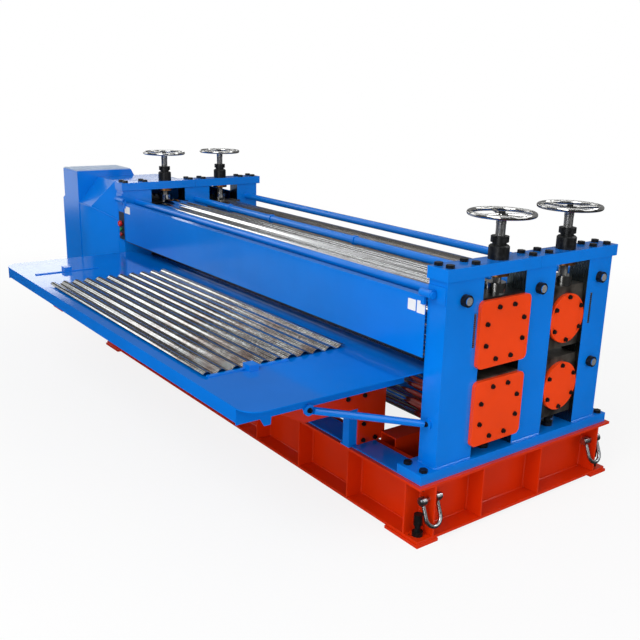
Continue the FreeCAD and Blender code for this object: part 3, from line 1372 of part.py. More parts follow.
def bracket(side):
    """Orange bracket plate across X = 0, its rear flange towards +X (1) or -X (-1)."""
    owner = body()
    drawing = sketch(owner, "YZ_Plane")
    rear = "front_column_y + bracket_rear_y"
    foot = f"{rear} - bracket_deep"
    under = "table_z - table_thick - bracket_top_gap"
    rear_top = f"{under} - ramp_drop * (bracket_rear_y + table_gap) / ramp_deep"
    tip = "front_column_y - bracket_reach"
    level = "front_column_y - bracket_arm_level"
    arm = "base_top_z + bracket_arm_low"
    outline(drawing, [
        (foot, "base_top_z + bed_rail_thick"), (rear, "base_top_z + bed_rail_thick"), (rear, rear_top),
        ("table_back_y", under), (tip, under), (tip, f"{under} - bracket_tip_high"), (level, arm),
        (foot, arm),
    ])
    pad(owner, drawing, "bracket_thick", middle=True)
    edge = box(both(side, "0", "bracket_flange"), (f"{rear} - bracket_thick", rear),
               ("base_top_z + bed_rail_thick", rear_top))
    return fused([owner, edge])


def make_brackets():
    holes = [rod("X", ("0", y, z), "small_bolt / 2 + press_gap", "bracket_thick") for y, z in BRACKET_BOLTS]
    drilled = {side: cut(bracket(side), holes) for side in (1, -1)}
    foot_y = "base_front_y"
    half = "post_thick / 2"
    column = box((f"-({half})", half), (foot_y, f"{foot_y} + post_wide"),
                 ("base_top_z + post_foot_thick", "table_z - table_thick - bracket_top_gap"))
    foot = box((f"-({half}) - post_foot", f"{half}"), (foot_y, "bed_front_y"),
               ("base_top_z", "base_top_z + post_foot_thick"))
    post = fused([column, foot])
    plates = []
    posts = []
    for share in (1, 0, -1):
        middle = f"{share} * bracket_x"
        plates.append(copy(drilled[1 if share < 0 else -1], middle))
        posts.append(copy(post, f"{middle} - bracket_thick / 2 - {half}"))
    node(together(plates), "table_brackets")
    node(together(posts), "table_posts")


def strut(end):
    """Tube between two flattened ends: on the front column and on the tab under the side skirt."""
    thick = num("strut_end_thick")
    radius = num("strut_end_diameter / 2")
    low_x = end * num("stand_in_x + strut_bolt_in")
    low = Vector(low_x, num("front_column_y"), num("base_top_z + strut_low"))
    skirt_x = num("skirt_near_x") if end > 0 else num("skirt_far_x")
    tab_y = num("table_front_y + tab_strut_in + tab_wide / 2")
    tab_z = num("table_z - side_skirt_high - tab_high / 3")
    high = Vector(skirt_x, tab_y, tab_z)
    foot = Part.makeCylinder(radius, thick, low, Vector(0, -1, 0))
    head = Part.makeCylinder(radius, thick, high, Vector(end, 0, 0))
    start = low + Vector(0, -thick / 2, 0)
    stop = high + Vector(end * thick / 2, 0, 0)
    run = (stop - start).normalize()
    start = start + run * radius * 0.9
    stop = stop - run * radius * 0.9
    tube = Part.makeCylinder(num("strut_diameter / 2"), (stop - start).Length, start, run)
    side = num("8 * strut_diameter")
    behind = Part.makeBox(side, side, side, low - Vector(side / 2, 0, side / 2))
    inner_x = side if end > 0 else 0
    inside = Part.makeBox(side, side, side, high - Vector(inner_x, side / 2, side / 2))
    return tube.cut(behind).cut(inside).fuse([foot, head]), low, high


def make_struts():
    pieces = []
    bolt = washer_bolt("small_bolt", "small_bolt_flats", "small_bolt_head", "strut_end_thick / 2",
                       "washer_diameter", "washer_thick")
    doc.recompute()
    for _, end in ENDS:
        shape, low, high = strut(end)
        thick = num("strut_end_thick")
        for spot, turn in ((low + Vector(0, -thick, 0), TURNS["-Y"]),
                           (high + Vector(end * thick, 0, 0), TURNS["X" if end > 0 else "-X"])):
            head = bolt.Shape.copy()
            head.Placement = Placement(spot, Rotation(*turn))
            shape = shape.cut(head)
            pieces.append(feature(head.copy()))
        pieces.append(feature(shape))
    node(together(pieces), "table_struts")


def make_stops():
    """Flat strips on the table with a clamp block over each."""
    pieces = []
    y = ("table_front_y + stop_front_in", "table_front_y + stop_front_in + stop_long")
    middle = "table_front_y + stop_front_in + stop_long / 2"
    for x in ("table_near_x - near_stop_in", "table_far_x + far_stop_in"):
        strip = box((f"{x} - stop_wide / 2", f"{x} + stop_wide / 2"), y, ("table_z", "table_z + stop_thick"))
        block_x = (f"{x} - clamp_wide", f"{x} + stop_wide / 2 + stop_wall")
        if "near" in x:
            block_x = (f"{x} - stop_wide / 2", f"{x} + clamp_wide")
        block = box(block_x, (f"{middle} - clamp_deep / 2", f"{middle} + clamp_deep / 2"),
                    ("table_z", "table_z + clamp_high"))
        slot = box((f"{x} - stop_wide / 2 - hole_gap", f"{x} + stop_wide / 2 + hole_gap"), y,
                   ("table_z - 1", "table_z + stop_thick"))
        pieces += [strip, cut(block, [slot])]
    node(together(pieces), "sheet_stops")


def make_sheets():
    """Stack of thin corrugated sheets: one arc over each crest and one through each valley."""
    pitch = num("flute_pitch")
    half_depth = num("flute_depth / 2")
    thick = num("stack_thick")
    chord = pitch / 4
    radius = (chord ** 2 + half_depth ** 2) / (2 * half_depth)
    lean = math.asin(chord / radius)
    count = int(num("stack_crests"))
    level = num("table_z + stack_rest_gap") + half_depth + thick / 2

    def skin(offset):
        """Edges of one side of the sheet, offset from its middle line along the normal."""
        edges = []
        for i in range(2 * count - 1):
            up = 1 if i % 2 == 0 else -1
            middle = i * pitch / 2
            reach = radius + up * offset
            centre = level + up * (half_depth - radius)
            across = reach * math.sin(lean)
            rise = reach * math.cos(lean)
            edges.append(arc_of(Vector(0, middle - across, centre + up * rise),
                                Vector(0, middle, centre + up * reach),
                                Vector(0, middle + across, centre + up * rise)))
        return edges

    top = skin(thick / 2)
    bottom = skin(-thick / 2)
    ends = [(top[-1].Vertexes[-1].Point, bottom[-1].Vertexes[-1].Point),
            (bottom[0].Vertexes[0].Point, top[0].Vertexes[0].Point)]
    closing = [Part.LineSegment(a, b).toShape() for a, b in ends]
    wire = Part.Wire(Part.__sortEdges__(top + bottom + closing))
    stack = Part.Face(wire).extrude(Vector(num("stack_long"), 0, 0))
    near = num("table_near_x - near_stop_in - stop_wide / 2 - stack_gap")
    first = num("table_front_y + stack_front_in") + chord
    stack.translate(Vector(near - num("stack_long"), first, 0))
    node(feature(stack), "corrugated_sheets")


# Guard
def make_guard():
    wall = box(("guard_far_x", "guard_near_x"), ("guard_y", "guard_y + guard_thick"),
               ("guard_low_z", "guard_top_z"))
    flange = box(("guard_far_x", "stand_in_x - guard_end_gap"), ("guard_y", "guard_y + guard_flange"),
                 ("guard_top_z - guard_thick", "guard_top_z"))
    pieces = [wall, flange]
    bores = []
    blocks = []
    radius = "pivot_barrel / 2"
    for _, end in ENDS:
        root = "guard_near_x" if end > 0 else "-guard_far_x"
        x = both(end, f"{root} - pivot_root", "stand_in_x + pivot_reach")
        pieces.append(rod("X", (x[0], "pivot_y", "pivot_z"), radius, f"({x[1]}) - ({x[0]})"))
        cheek = both(end, f"{root} - pivot_root", root)
        pieces.append(box(cheek, ("pivot_y", "guard_y + guard_thick"),
                          ("guard_top_z - pivot_barrel", "pivot_z")))
        bores.append(rod("X", (f"({x[0]}) - 1", "pivot_y", "pivot_z"), "pivot_pin / 2 + pivot_gap",
                         f"({x[1]}) - ({x[0]}) + 2"))
        blocks += hinge_block(end, root)
    node(cut(fused(pieces), bores), "front_guard")
    node(together(blocks), "guard_hinges")
    seal_y = "guard_y + guard_thick"
    seal_z = "guard_low_z - seal_drop"
    seal = box(("guard_far_x", "guard_near_x - guard_thick"), (seal_y, f"{seal_y} + seal_thick"),
               (seal_z, f"{seal_z} + seal_high"))
    node(seal, "guard_seal")


def hinge_block(end, root):
    """Pad with its lug on the front column, and the pivot pin through the lug."""
    pad_y = ("front_column_y - hinge_pad_thick", "front_column_y")
    pad_z = ("pivot_z - hinge_pad_high / 2", "pivot_z + hinge_pad_high / 2")
    plate = box(both(end, "stand_in_x + guard_thick", "stand_out_x - guard_thick"), pad_y, pad_z)
    lug_in = "stand_in_x + pivot_reach + hinge_lug_gap"
    lug_x = both(end, lug_in, f"{lug_in} + hinge_lug_thick")
    radius = "pin_head_diameter / 2"
    lug = rod("X", (lug_x[0], "pivot_y", "pivot_z"), radius, "hinge_lug_thick")
    arm = box(lug_x, ("pivot_y", "front_column_y - hinge_pad_thick"),
              (f"pivot_z - {radius}", f"pivot_z + {radius}"))
    bore = rod("X", (f"({lug_x[0]}) - 1", "pivot_y", "pivot_z"), "pivot_pin / 2 + press_gap",
               "hinge_lug_thick + 2")
    block = cut(fused([plate, lug, arm]), [bore])
    pin_x = both(end, f"{root} - pivot_root / 2", f"{lug_in} + hinge_lug_thick")
    head_x = both(end, f"{lug_in} + hinge_lug_thick", f"{lug_in} + hinge_lug_thick + pin_head_thick")
    pin = fused([
        rod("X", (pin_x[0], "pivot_y", "pivot_z"), "pivot_pin / 2", f"({pin_x[1]}) - ({pin_x[0]})"),
        rod("X", (head_x[0], "pivot_y", "pivot_z"), f"{radius} - 4", "pin_head_thick"),
    ])
    return [block, pin]


# Shackles
def bow_bar():
    """Round bar bent to a U in the YZ plane, its open ends at Z = 0 and its bend below."""
    owner = body()
    bend_r = "(shackle_inside + shackle_bar) / 2"
    bend_z = "-(shackle_reach - shackle_inside / 2)"
    path = sketch(owner, "YZ_Plane")
    reach = num(bend_r)
    low = num(bend_z)
    legs = []
    for side in (1, -1):
        top = Vector(side * reach, 0, 0)
        bottom = Vector(side * reach, low, 0)
        legs.append(path.addGeometry(Part.LineSegment(top, bottom), False))
    ring = Part.Circle(Vector(0, low, 0), Vector(0, 0, 1), reach)
    bend = path.addGeometry(Part.ArcOfCircle(ring, math.pi, 2 * math.pi), False)
    pin_point(path, legs[0], 1, bend_r, 0)
    pin_point(path, legs[0], 2, bend_r, bend_z)
    pin_point(path, bend, 3, 0, bend_z)
    pin_point(path, legs[1], 1, f"-({bend_r})", 0)
    for leg, arc_end in zip(legs, (2, 1)):
        path.addConstraint(Sketcher.Constraint("Coincident", leg, 2, bend, arc_end))
    number = path.addConstraint(Sketcher.Constraint("DistanceY", -1, 1, legs[1], 2, low))
    path.setExpression(f"Constraints[{number}]", expr(bend_z))
    section = sketch(owner, "XY_Plane")
    circle(section, 0, bend_r, "shackle_bar / 2")
    bar = owner.newObject("PartDesign::AdditivePipe", "bar")
    bar.Profile = section
    bar.Spine = (path, [])
    owner.Tip = bar
    return owner


def shackle():
    """Bow with its eyes, and the pin along Y through the origin; the bow hangs towards -Z."""
    middle = "(shackle_inside + shackle_bar) / 2"
    pieces = [bow_bar()]
    bores = []
    for side in ("", "-"):
        start = f"{side}({middle}) - shackle_eye_thick / 2"
        pieces.append(rod("Y", ("0", start, "0"), "shackle_eye / 2", "shackle_eye_thick"))
        bores.append(rod("Y", ("0", f"{start} - 1", "0"), "shackle_pin / 2 + press_gap",
                         "shackle_eye_thick + 2"))
    bow = cut(fused(pieces), bores)
    outside = f"{middle} + shackle_eye_thick / 2"
    pin = rod("Y", ("0", f"-({outside}) - 6", "0"), "shackle_pin / 2", f"2 * ({outside}) + 6")
    head = rod("Y", ("0", outside, "0"), "shackle_eye / 2 - 6", "14")
    return together([bow, fused([pin, head])])


def make_shackles():
    master = shackle()
    for name, end in ENDS:
        for side, sign in SIDES:
            x = "base_out_x - shackle_in"
            y = f"{-sign} * side_beam_y"
            if end < 0:
                x = "drive_end_x + shackle_in"
                y = f"drive_{side}_y"
            hung = copy(master, x, y, "base_top_z - shackle_down")
            lean = Rotation(Vector(0, 1, 0), -end * num("shackle_lean"))
            facing = Rotation(Vector(0, 0, 1), 0 if sign < 0 else 180)
            hung.Placement = Placement(hung.Placement.Base, lean * facing)
            node(together([hung]), f"{name}_{side}_shackle")


# Control box and scales
def make_control_box():
    x = ("box_over - stand_in_x - box_wide", "box_over - stand_in_x")
    low = "base_top_z + box_low"
    front = "front_column_y - box_deep"
    shell = box(x, (front, "front_column_y"), (low, f"{low} + box_high"))
    wall = "box_wall"
    hollow = box((f"{x[0]} + {wall}", f"{x[1]} - {wall}"), (f"{front} + {wall}", f"front_column_y - {wall}"),
                 (f"{low} + {wall}", f"{low} + box_high - {wall}"))
    middle = "box_over - stand_in_x - box_wide / 2"
    top = f"{low} + box_high"
    stem = "button_stem / 2"
    holes = [hollow]
    for name, down, head, proud in (
        ("emergency_button", "emergency_down", "mushroom_diameter", "mushroom_proud"),
        ("start_button", "start_down", "button_diameter", "button_proud"),
        ("stop_button", "stop_down", "button_diameter", "button_proud"),
    ):
        at = (middle, f"{front} - 1", f"{top} - {down}")
        holes.append(rod("Y", at, f"{stem} + button_gap", "box_wall + 2"))
        cap_low = "button_travel_gap"
        cap_high = f"button_travel_gap + {proud}"
        button = turned([
            (0, "-box_wall * 2"), (stem, "-box_wall * 2"), (stem, cap_low), (f"{head} / 2", cap_low),
            (f"{head} / 2", f"{cap_high} - {proud} / 3"), (f"{head} / 2 - {proud} / 4", cap_high),
            (0, cap_high),
        ])
        node(put(button, middle, front, f"{top} - {down}", TURNS["-Y"]), name)
    node(cut(shell, holes), "control_box")


def make_scales():
    pieces = []
    for y, low in (("front_window_y - scale_in", "front_scale_low"),
                   ("rear_column_y + scale_in - scale_wide", "rear_scale_low")):
        z = f"bed_top_z + {low}"
        strip = box(("stand_out_x", "stand_out_x + scale_thick"), (y, f"{y} + scale_wide"),
                    (z, f"{z} + scale_long"))
        screws = [rod("X", ("stand_out_x + scale_thick", f"{y} + scale_wide / 2", spot), "scale_screw / 2",
                      "scale_thick")
                  for spot in (f"{z} + scale_wide / 2", f"{z} + scale_long - scale_wide / 2")]
        pieces += [strip] + screws
    node(together(pieces), "gap_scales")


# Drive end
def housing_corners(inset):
    """Outline of the gear housing across X, drawn in by a wall when inset is 1."""
    wall = f"{inset} * housing_wall"
    top = "housing_top_z"
    return [
        (f"housing_front_y + {wall}", f"base_top_z + {wall}"),
        (f"housing_front_y + {wall}", f"fold_z - {wall} / 2"),
        (f"chamfer_y + {wall} / 2", f"{top} - {wall}"),
        ("level_y", f"{top} - {wall}"),
        ("slope_y", f"{top} - housing_slope_drop - {wall}"),
        (f"housing_rear_y - {wall}", f"{top} - housing_slope_drop - housing_tail_drop - {wall} * 1.2"),
        (f"housing_rear_y - {wall}", f"base_top_z + {wall}"),
    ]


def beyond(corners, inset):
    """Large block outside the plane through three points, drawn in by a wall when inset is 1."""
    first, second, third = (Vector(*[num(formula) for formula in spot]) for spot in corners)
    outward = (second - first).cross(third - first).normalize()
    side = num("4 * housing_long")
    block = Part.makeBox(side, side, side, Vector(-side / 2, -side / 2, 0))
    start = first - outward * inset * num("housing_wall")
    block.Placement = Placement(start, Rotation(Vector(0, 0, 1), outward))
    return feature(block)


def tapered(block, inset):
    """Housing block with its near front corner folded back to the column."""
    fold = ("taper_x", "housing_front_y", "fold_z")
    root = ("-stand_out_x", "front_column_y - housing_taper_lap", "fold_z - housing_fold_drop")
    above = ("taper_x", "housing_front_y", "housing_top_z")
    peak = ("taper_x + housing_peak_in", "chamfer_y", "housing_top_z")
    for third in (above, peak):
        block = cut(block, [beyond((fold, root, third), inset)])
    return block


def make_housing():
    shell = body()
    outside = sketch(shell, "YZ_Plane", "housing_end_x")
    outline(outside, housing_corners(0))
    pad(shell, outside, "housing_long")
    hollow = body()
    inside = sketch(hollow, "YZ_Plane", "housing_end_x + housing_wall")
    outline(inside, housing_corners(1))
    pad(hollow, inside, "housing_long")
    shaft = rod("X", ("housing_end_x - 1", "pinion_y", "pinion_z"), "coupling_diameter / 2 + shaft_gap",
                "housing_wall + 2")
    clear = "housing_clear"
    bed = box((f"-bed_out_x - {clear}", "0"), (f"bed_front_y - {clear}", f"-bed_front_y + {clear}"),
              ("base_top_z - 1", f"bed_top_z + {clear}"))
    caps = box((f"-stand_out_x - cap_over_side - {clear}", "0"),
               (f"front_column_y - cap_over_front - {clear}", f"rear_end_y + cap_over_rear + {clear}"),
               (f"cap_z - {clear}", f"cap_top_z + {clear}"))
    nut = rod("-X", ("-stand_in_x", "tie_rear_y", "tie_high_z"), "tie_nut_diameter / 2 + 4",
              "column_thick + tie_stud_out + 8")
    casing = cut(tapered(shell, 0), [tapered(hollow, 1)])
    side = body()
    cover = sketch(side, "YZ_Plane", "cabinet_end_x - side_cover_long")
    outline(cover, [
        ("housing_front_y", "base_top_z"), ("housing_front_y", "fold_z"),
        ("chamfer_y", "housing_top_z"), ("cabinet_rear_y", "housing_top_z"),
        ("cabinet_rear_y", "base_top_z"),
    ])
    pad(side, cover, "side_cover_long")
    node(together([cut(casing, [shaft, bed, caps, nut]), side]), "drive_housing")


def make_cabinet():
    owner = body()
    shell = sketch(owner, "YZ_Plane", "cabinet_end_x")

    def corners(inset):
        wall = f"{inset} * cabinet_wall"
        bevel = "cabinet_bevel_deep"
        return [
            (f"cabinet_front_y + {wall}", f"base_top_z + {wall}"),
            (f"cabinet_front_y + {wall}", f"cabinet_top_z - {wall}"),
            (f"cabinet_rear_y - {bevel} - {wall} / 2", f"cabinet_top_z - {wall}"),
            (f"cabinet_rear_y - {wall}", f"cabinet_top_z - cabinet_above - {wall} / 2"),
            (f"cabinet_rear_y - {wall}", f"base_top_z + {wall}"),
        ]

    outline(shell, corners(0))
    pad(owner, shell, "cabinet_long")
    hollow = sketch(owner, "YZ_Plane", "cabinet_end_x + cabinet_wall")
    outline(hollow, corners(1))
    pocket(owner, hollow, "cabinet_long - 2 * cabinet_wall")
    lid = box(("cabinet_end_x + lid_inset", "housing_end_x - lid_inset"),
              ("cabinet_front_y + lid_inset", "cabinet_rear_y - cabinet_bevel_deep - lid_inset"),
              ("cabinet_top_z", "cabinet_top_z + lid_thick"))
    node(together([owner, lid]), "drive_cabinet")


def make_gearmotor():
    """Reducer, motor and their feet on a plate over the drive base's cross beams."""
    start = "housing_end_x - reducer_gap"
    plate_top = "base_top_z + gearmotor_plate"
    end = f"{start} - reducer_long - motor_long"
    half = "reducer_wide / 2"
    plate = box((f"{end}", start), (f"pinion_y - {half}", f"pinion_y + {half}"), ("base_top_z", plate_top))
    casing = box((f"{start} - reducer_long", start), (f"pinion_y - {half}", f"pinion_y + {half}"),
                 (plate_top, "pinion_z + reducer_above"))
    rounded = doc.addObject("Part::Fillet", "rounded")
    rounded.Base = casing
    doc.recompute()
    upright = [i + 1 for i, edge in enumerate(casing.Shape.Edges)
               if edge.BoundBox.XLength > 1 and edge.BoundBox.ZMin > num("pinion_z")]
    rounded.Edges = [(i, 60, 60) for i in upright]
    motor_x = f"{start} - reducer_long"
    motor = rod("-X", (motor_x, "pinion_y", "pinion_z"), "motor_diameter / 2", "motor_long")
    foot = box((f"{motor_x} - motor_long * 0.8", f"{motor_x} - motor_long * 0.2"),
               ("pinion_y - motor_foot_wide / 2", "pinion_y + motor_foot_wide / 2"), (plate_top, "pinion_z"))
    node(together([plate, rounded, fused([motor, foot])]), "drive_gearmotor")


make_base()
make_cross_members()
make_drive_base()
make_feet()
make_columns()
make_caps_and_beds()
make_tie_rods()
make_chocks()
make_jacks()
make_rolls()
make_gears()
make_screws()
make_handwheels()
make_table()
make_brackets()
make_struts()
make_stops()
make_sheets()
make_guard()
make_shackles()
make_control_box()
make_scales()
make_housing()
make_cabinet()
make_gearmotor()

# Check every object, then write one file for each piece
doc.recompute()
for item in doc.Objects:
    if "Invalid" in item.State or "Error" in item.State:
        raise RuntimeError(f"{item.Name} ({item.Label}) did not build: {item.State}")
for item in NODES:
    if item.Shape.isNull() or not item.Shape.isValid():
        raise RuntimeError(f"{item.Label} has no valid shape")
os.makedirs("parts", exist_ok=True)
for item in NODES:
    item.Shape.exportStep(f"parts/{item.Label}.step")
print(len(NODES), "pieces written")
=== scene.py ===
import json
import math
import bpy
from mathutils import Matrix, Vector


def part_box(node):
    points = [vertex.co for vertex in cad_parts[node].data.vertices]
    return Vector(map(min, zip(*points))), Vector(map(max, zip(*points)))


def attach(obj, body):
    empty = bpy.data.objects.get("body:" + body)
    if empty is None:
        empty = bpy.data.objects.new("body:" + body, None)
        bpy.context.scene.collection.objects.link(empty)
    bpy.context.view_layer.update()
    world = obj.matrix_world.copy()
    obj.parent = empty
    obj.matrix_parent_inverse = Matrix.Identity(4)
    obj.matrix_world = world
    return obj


bl_info = {
    "name": "Corrugated sheet roll former",
    "version": (1, 0, 0),
    "blender": (4, 5, 0),
    "location": "View3D > Sidebar > Roll former",
    "description": "Paint, metal and small pieces of a roll former for corrugated sheet",
    "category": "Object",
}

import bmesh
import bpy
from mathutils import Matrix, Vector

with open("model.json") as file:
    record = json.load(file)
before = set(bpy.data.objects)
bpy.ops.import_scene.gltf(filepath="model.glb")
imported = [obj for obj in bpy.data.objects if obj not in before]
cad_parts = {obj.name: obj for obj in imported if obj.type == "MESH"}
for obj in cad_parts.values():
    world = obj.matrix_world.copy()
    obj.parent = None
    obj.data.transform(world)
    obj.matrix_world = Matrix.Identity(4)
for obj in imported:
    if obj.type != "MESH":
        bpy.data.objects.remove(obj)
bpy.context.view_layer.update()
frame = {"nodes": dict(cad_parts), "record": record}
NODES = frame["nodes"]
MM = 0.001

ENDS = ("near", "far")
SIDES = ("front", "rear")
HANDWHEELS = [f"{end}_{side}_handwheel" for end in ENDS for side in SIDES]
SHACKLES = [f"{end}_{side}_shackle" for end in ENDS for side in SIDES]
GEARS = [f"{side}_{level}_gear" for side in SIDES for level in ("upper", "lower")]
ROLLS = [f"{side}_{level}_roll" for side in SIDES for level in ("upper", "lower")]
COVERS = ["lower_covers", "front_upper_covers", "rear_upper_covers"]
BOLTS = ["frame_bolts", "lower_cover_bolts", "front_cover_bolts", "rear_cover_bolts"]
BLACK_STEEL = ["nut_blocks", "lock_rings", "jack_screws", "front_upper_chocks", "levelling_bolts",
               "tie_rod_nuts"]

# Edge rounding of the painted pieces, as a multiple of the edge radius; other pieces stay sharp
ROUNDED = {
    "near_columns": 1.0, "far_columns": 1.0, "column_caps": 1.0, "bed_plates": 1.0, "base_beams": 0.5,
    "lower_covers": 1.2, "front_upper_covers": 1.2, "rear_upper_covers": 1.2, "foot_plates": 0.8,
    "front_guard": 0.7, "drive_housing": 1.0, "drive_cabinet": 1.0, "output_table": 0.7,
}

# Places on the solids, in metres
STRUT_COLUMN_BOLT_X, STRUT_COLUMN_BOLT_Z = 1.709, 0.554
STRUT_TABLE_BOLTS = ((1.579, -1.1685, 0.7055), (-1.468, -1.1685, 0.7055))
WEB_LOW, WEB_HIGH = 0.029, 0.286  # clear web of the base beams, between the flanges
WEB_BEHIND_FLANGE = 95 * MM  # from the flanges' outer edge in to the end beams' webs
END_WEB_Y = 0.6  # half length of the end beams' webs
# Place along Y and facing side of each stiffener face on the end beams
END_STIFFENER_FACES = ((-0.6045, 1), (-0.2925, -1), (-0.2825, 1), (0.1335, -1), (0.1435, 1), (0.6045, -1))
SIDE_WEB_X, SIDE_WEB_Y = 1.71, 0.6145  # half length and place of the long beams' webs
SIDE_STIFFENER_STEP = 0.42775
SIDE_STIFFENERS = 4  # on each side of the middle one
STIFFENER_HALF = 5 * MM  # half a stiffener's thickness
WINDOW_EDGES = (-0.3555, -0.0685, 0.1505, 0.4105)  # sides of the two windows in each stand, along Y
HOUSING_SEAM = ((-2.209, -0.7245, 1.085), (-1.975, -0.7245, 1.085), (-1.774, -0.5905, 1.0))

# Name, centre along X and Z, width and height of each bare plate
BARE_PLATES = (
    ("bare_plate_near", 1.574, 1.096, 0.052, 0.052),
    ("bare_plate_near_edge", 1.634, 1.096, 0.052, 0.058),
    ("bare_plate_far", -1.555, 1.104, 0.092, 0.052),
)

# Name, centre, direction, width and height, and grey level of each studio card
CARDS = (
    ("floor_card", (0, 0, 0.0005), (0, 0, 1), (18, 18), 0.03),
    ("ceiling_card", (0, 0, 7), (0, 0, -1), (18, 18), 0.23),
    ("back_card", (0, 9, 3.5), (0, -1, 0), (18, 7), 0.22),
    ("front_card", (0, -9, 3.5), (0, 1, 0), (18, 7), 0.12),
    ("left_card", (-9, 3.5, 3.5), (1, 0, 0), (11, 7), 0.16),
    ("window_card", (-8.9, 1.5, 2.6), (1, 0, 0), (4.6, 0.7), 2.8),
    ("right_card", (9, 0, 3.5), (-1, 0, 0), (18, 7), 0.10),
    ("front_strip", (0, -3.0, 6.9), (0, 0, -1), (18, 0.6), 3.6),
    ("middle_strip", (0, 0.6, 6.9), (0, 0, -1), (18, 0.6), 3.6),
    ("rear_strip", (0, 4.2, 6.9), (0, 0, -1), (18, 0.6), 3.6),
    ("near_edge_card", (4.5, 6.9, 6.88), (0, 0, -1), (6, 2.6), 6.0),
    ("left_edge_card", (-8.95, -3.6, 5.3), (1, 0, 0), (3, 2), 3.0),
)

# Camera solved from the photograph
CAMERA_PLACE = (4.2066, -3.0960, 2.0486)
CAMERA_ANGLES = (53.1596, -16.0770, 1.4525)  # yaw, pitch and roll, in degrees
FOCAL_LENGTH = 46.115  # mm, on a sensor 36 mm wide


# Sizes and colours that a user would change
class RollFormerColours(bpy.types.PropertyGroup):
    blue: bpy.props.StringProperty(
        name="Blue enamel", description="Colour of the frame and guard", default="#0075d9")
    # Table enamel: the blue enamel made darker for the output table, as painted shade
    table: bpy.props.StringProperty(
        name="Table enamel", description="Colour of the output table", default="#006ac9")
    base: bpy.props.StringProperty(
        # Base enamel: a deeper red-orange than the covers, made darker partly as painted shade of the base
        # under the bed and table
        name="Base enamel", description="Colour of the base beams and brackets", default="#d42e02")
    cover: bpy.props.StringProperty(
        name="Cover enamel", description="Colour of the bearing covers", default="#ec430e")
    lid: bpy.props.StringProperty(
        name="Cabinet lid", description="Colour of the grey cabinet lid", default="#a9c0df")
    steel: bpy.props.StringProperty(
        name="Roll steel", description="Colour of the ground rolls", default="#d3d5d6")
    sheet: bpy.props.StringProperty(
        name="Zinc coating", description="Colour of the galvanised sheets", default="#b0b3b3")
    floor: bpy.props.StringProperty(
        name="Floor", description="Colour of the studio floor", default="#ececec")


class RollFormerSizes(bpy.types.PropertyGroup):
    edge_bevel: bpy.props.FloatProperty(
        name="Edge radius", description="Rounding of plate edges", default=1.5 * MM, unit="LENGTH")
    weld_leg: bpy.props.FloatProperty(
        name="Weld leg", description="Leg of the fillet weld beads", default=7 * MM, unit="LENGTH")
    weld_ripple: bpy.props.FloatProperty(
        name="Weld ripple", description="Spacing of the weld ripples", default=9 * MM, unit="LENGTH")
    spangle: bpy.props.FloatProperty(
        name="Zinc spangle", description="Size of the zinc crystals", default=9 * MM, unit="LENGTH")
    thread_pitch: bpy.props.FloatProperty(
        name="Thread pitch", description="Pitch of the adjusting screws", default=8 * MM, unit="LENGTH")
    plate_thick: bpy.props.FloatProperty(
        name="Bare plate", description="Thickness of the bare plates", default=1 * MM, unit="LENGTH")
    key_light: bpy.props.FloatProperty(
        name="Key light", description="Power of the large lamp", default=262.0, min=0.0)
    fill_light: bpy.props.FloatProperty(
        name="Fill light", description="Power of the second lamp", default=72.0, min=0.0)
    low_light: bpy.props.FloatProperty(
        name="Low light", description="Power of the lamp in front of the base", default=78.0, min=0.0)
    world_light: bpy.props.FloatProperty(
        name="World light", description="Strength of the surrounding light", default=0.56, min=0.0)


# Materials
def linear(code):
    """Linear colour of an sRGB hex value."""
    parts = [int(code[i:i + 2], 16) / 255 for i in (1, 3, 5)]
    return [p / 12.92 if p <= 0.04045 else ((p + 0.055) / 1.055) ** 2.4 for p in parts] + [1.0]


def add(tree, kind, settings=None, **inputs):
    """A node with its settings; an input takes a value or another node's output."""
    made = tree.nodes.new(kind)
    for name, value in (settings or {}).items():
        setattr(made, name, value)
    for name, value in inputs.items():
        socket = made.inputs[int(name[1:])] if name[1:].isdigit() else made.inputs[name.replace("_", " ")]
        if isinstance(value, bpy.types.NodeSocket):
            tree.links.new(value, socket)
        else:
            socket.default_value = value
    return made


def scale_for(size):
    """Texture scale that draws a pattern of this real size on Object coordinates."""
    return 1.0 / size


def noise(tree, place, size, detail, **inputs):
    """Cloudy pattern with features of this real size."""
    made = add(tree, "ShaderNodeTexNoise", Vector=place, Scale=scale_for(size), Detail=detail, **inputs)
    return made.outputs["Fac"]


def seen_directly(tree):
    """1 for rays of the camera, off glossy faces and through clear ones, else 0."""
    rays = add(tree, "ShaderNodeLightPath")
    seen = add(tree, "ShaderNodeMath", {"operation": "MAXIMUM"}, _0=rays.outputs["Is Camera Ray"],
               _1=rays.outputs["Is Glossy Ray"])
    through = add(tree, "ShaderNodeMath", {"operation": "MAXIMUM"}, _0=seen.outputs["Value"],
                  _1=rays.outputs["Is Transmission Ray"])
    return through.outputs["Value"]


def shader(name):
    """New material, its tree, its shader and the Object coordinates."""
    made = bpy.data.materials.new(name)
    made.use_nodes = True
    tree = made.node_tree
    place = add(tree, "ShaderNodeTexCoord").outputs["Object"]
    return made, tree, tree.nodes["Principled BSDF"], place


def ramp(tree, fac, low, high, low_at=0.0, high_at=1.0):
    """Colour ramp between two colours."""
    made = add(tree, "ShaderNodeValToRGB", Fac=fac)
    made.color_ramp.elements[0].position = low_at
    made.color_ramp.elements[1].position = high_at
    made.color_ramp.elements[0].color = low
    made.color_ramp.elements[1].color = high
    return made.outputs["Color"]


def spread(tree, fac, low, high):
    """Number between two limits from a 0 to 1 pattern."""
    made = add(tree, "ShaderNodeMapRange", Value=fac, To_Min=low, To_Max=high)
    return made.outputs["Result"]


def shade(colour, factor):
    """The same colour, lighter or darker."""
    return [c * factor for c in colour[:3]] + [1.0]


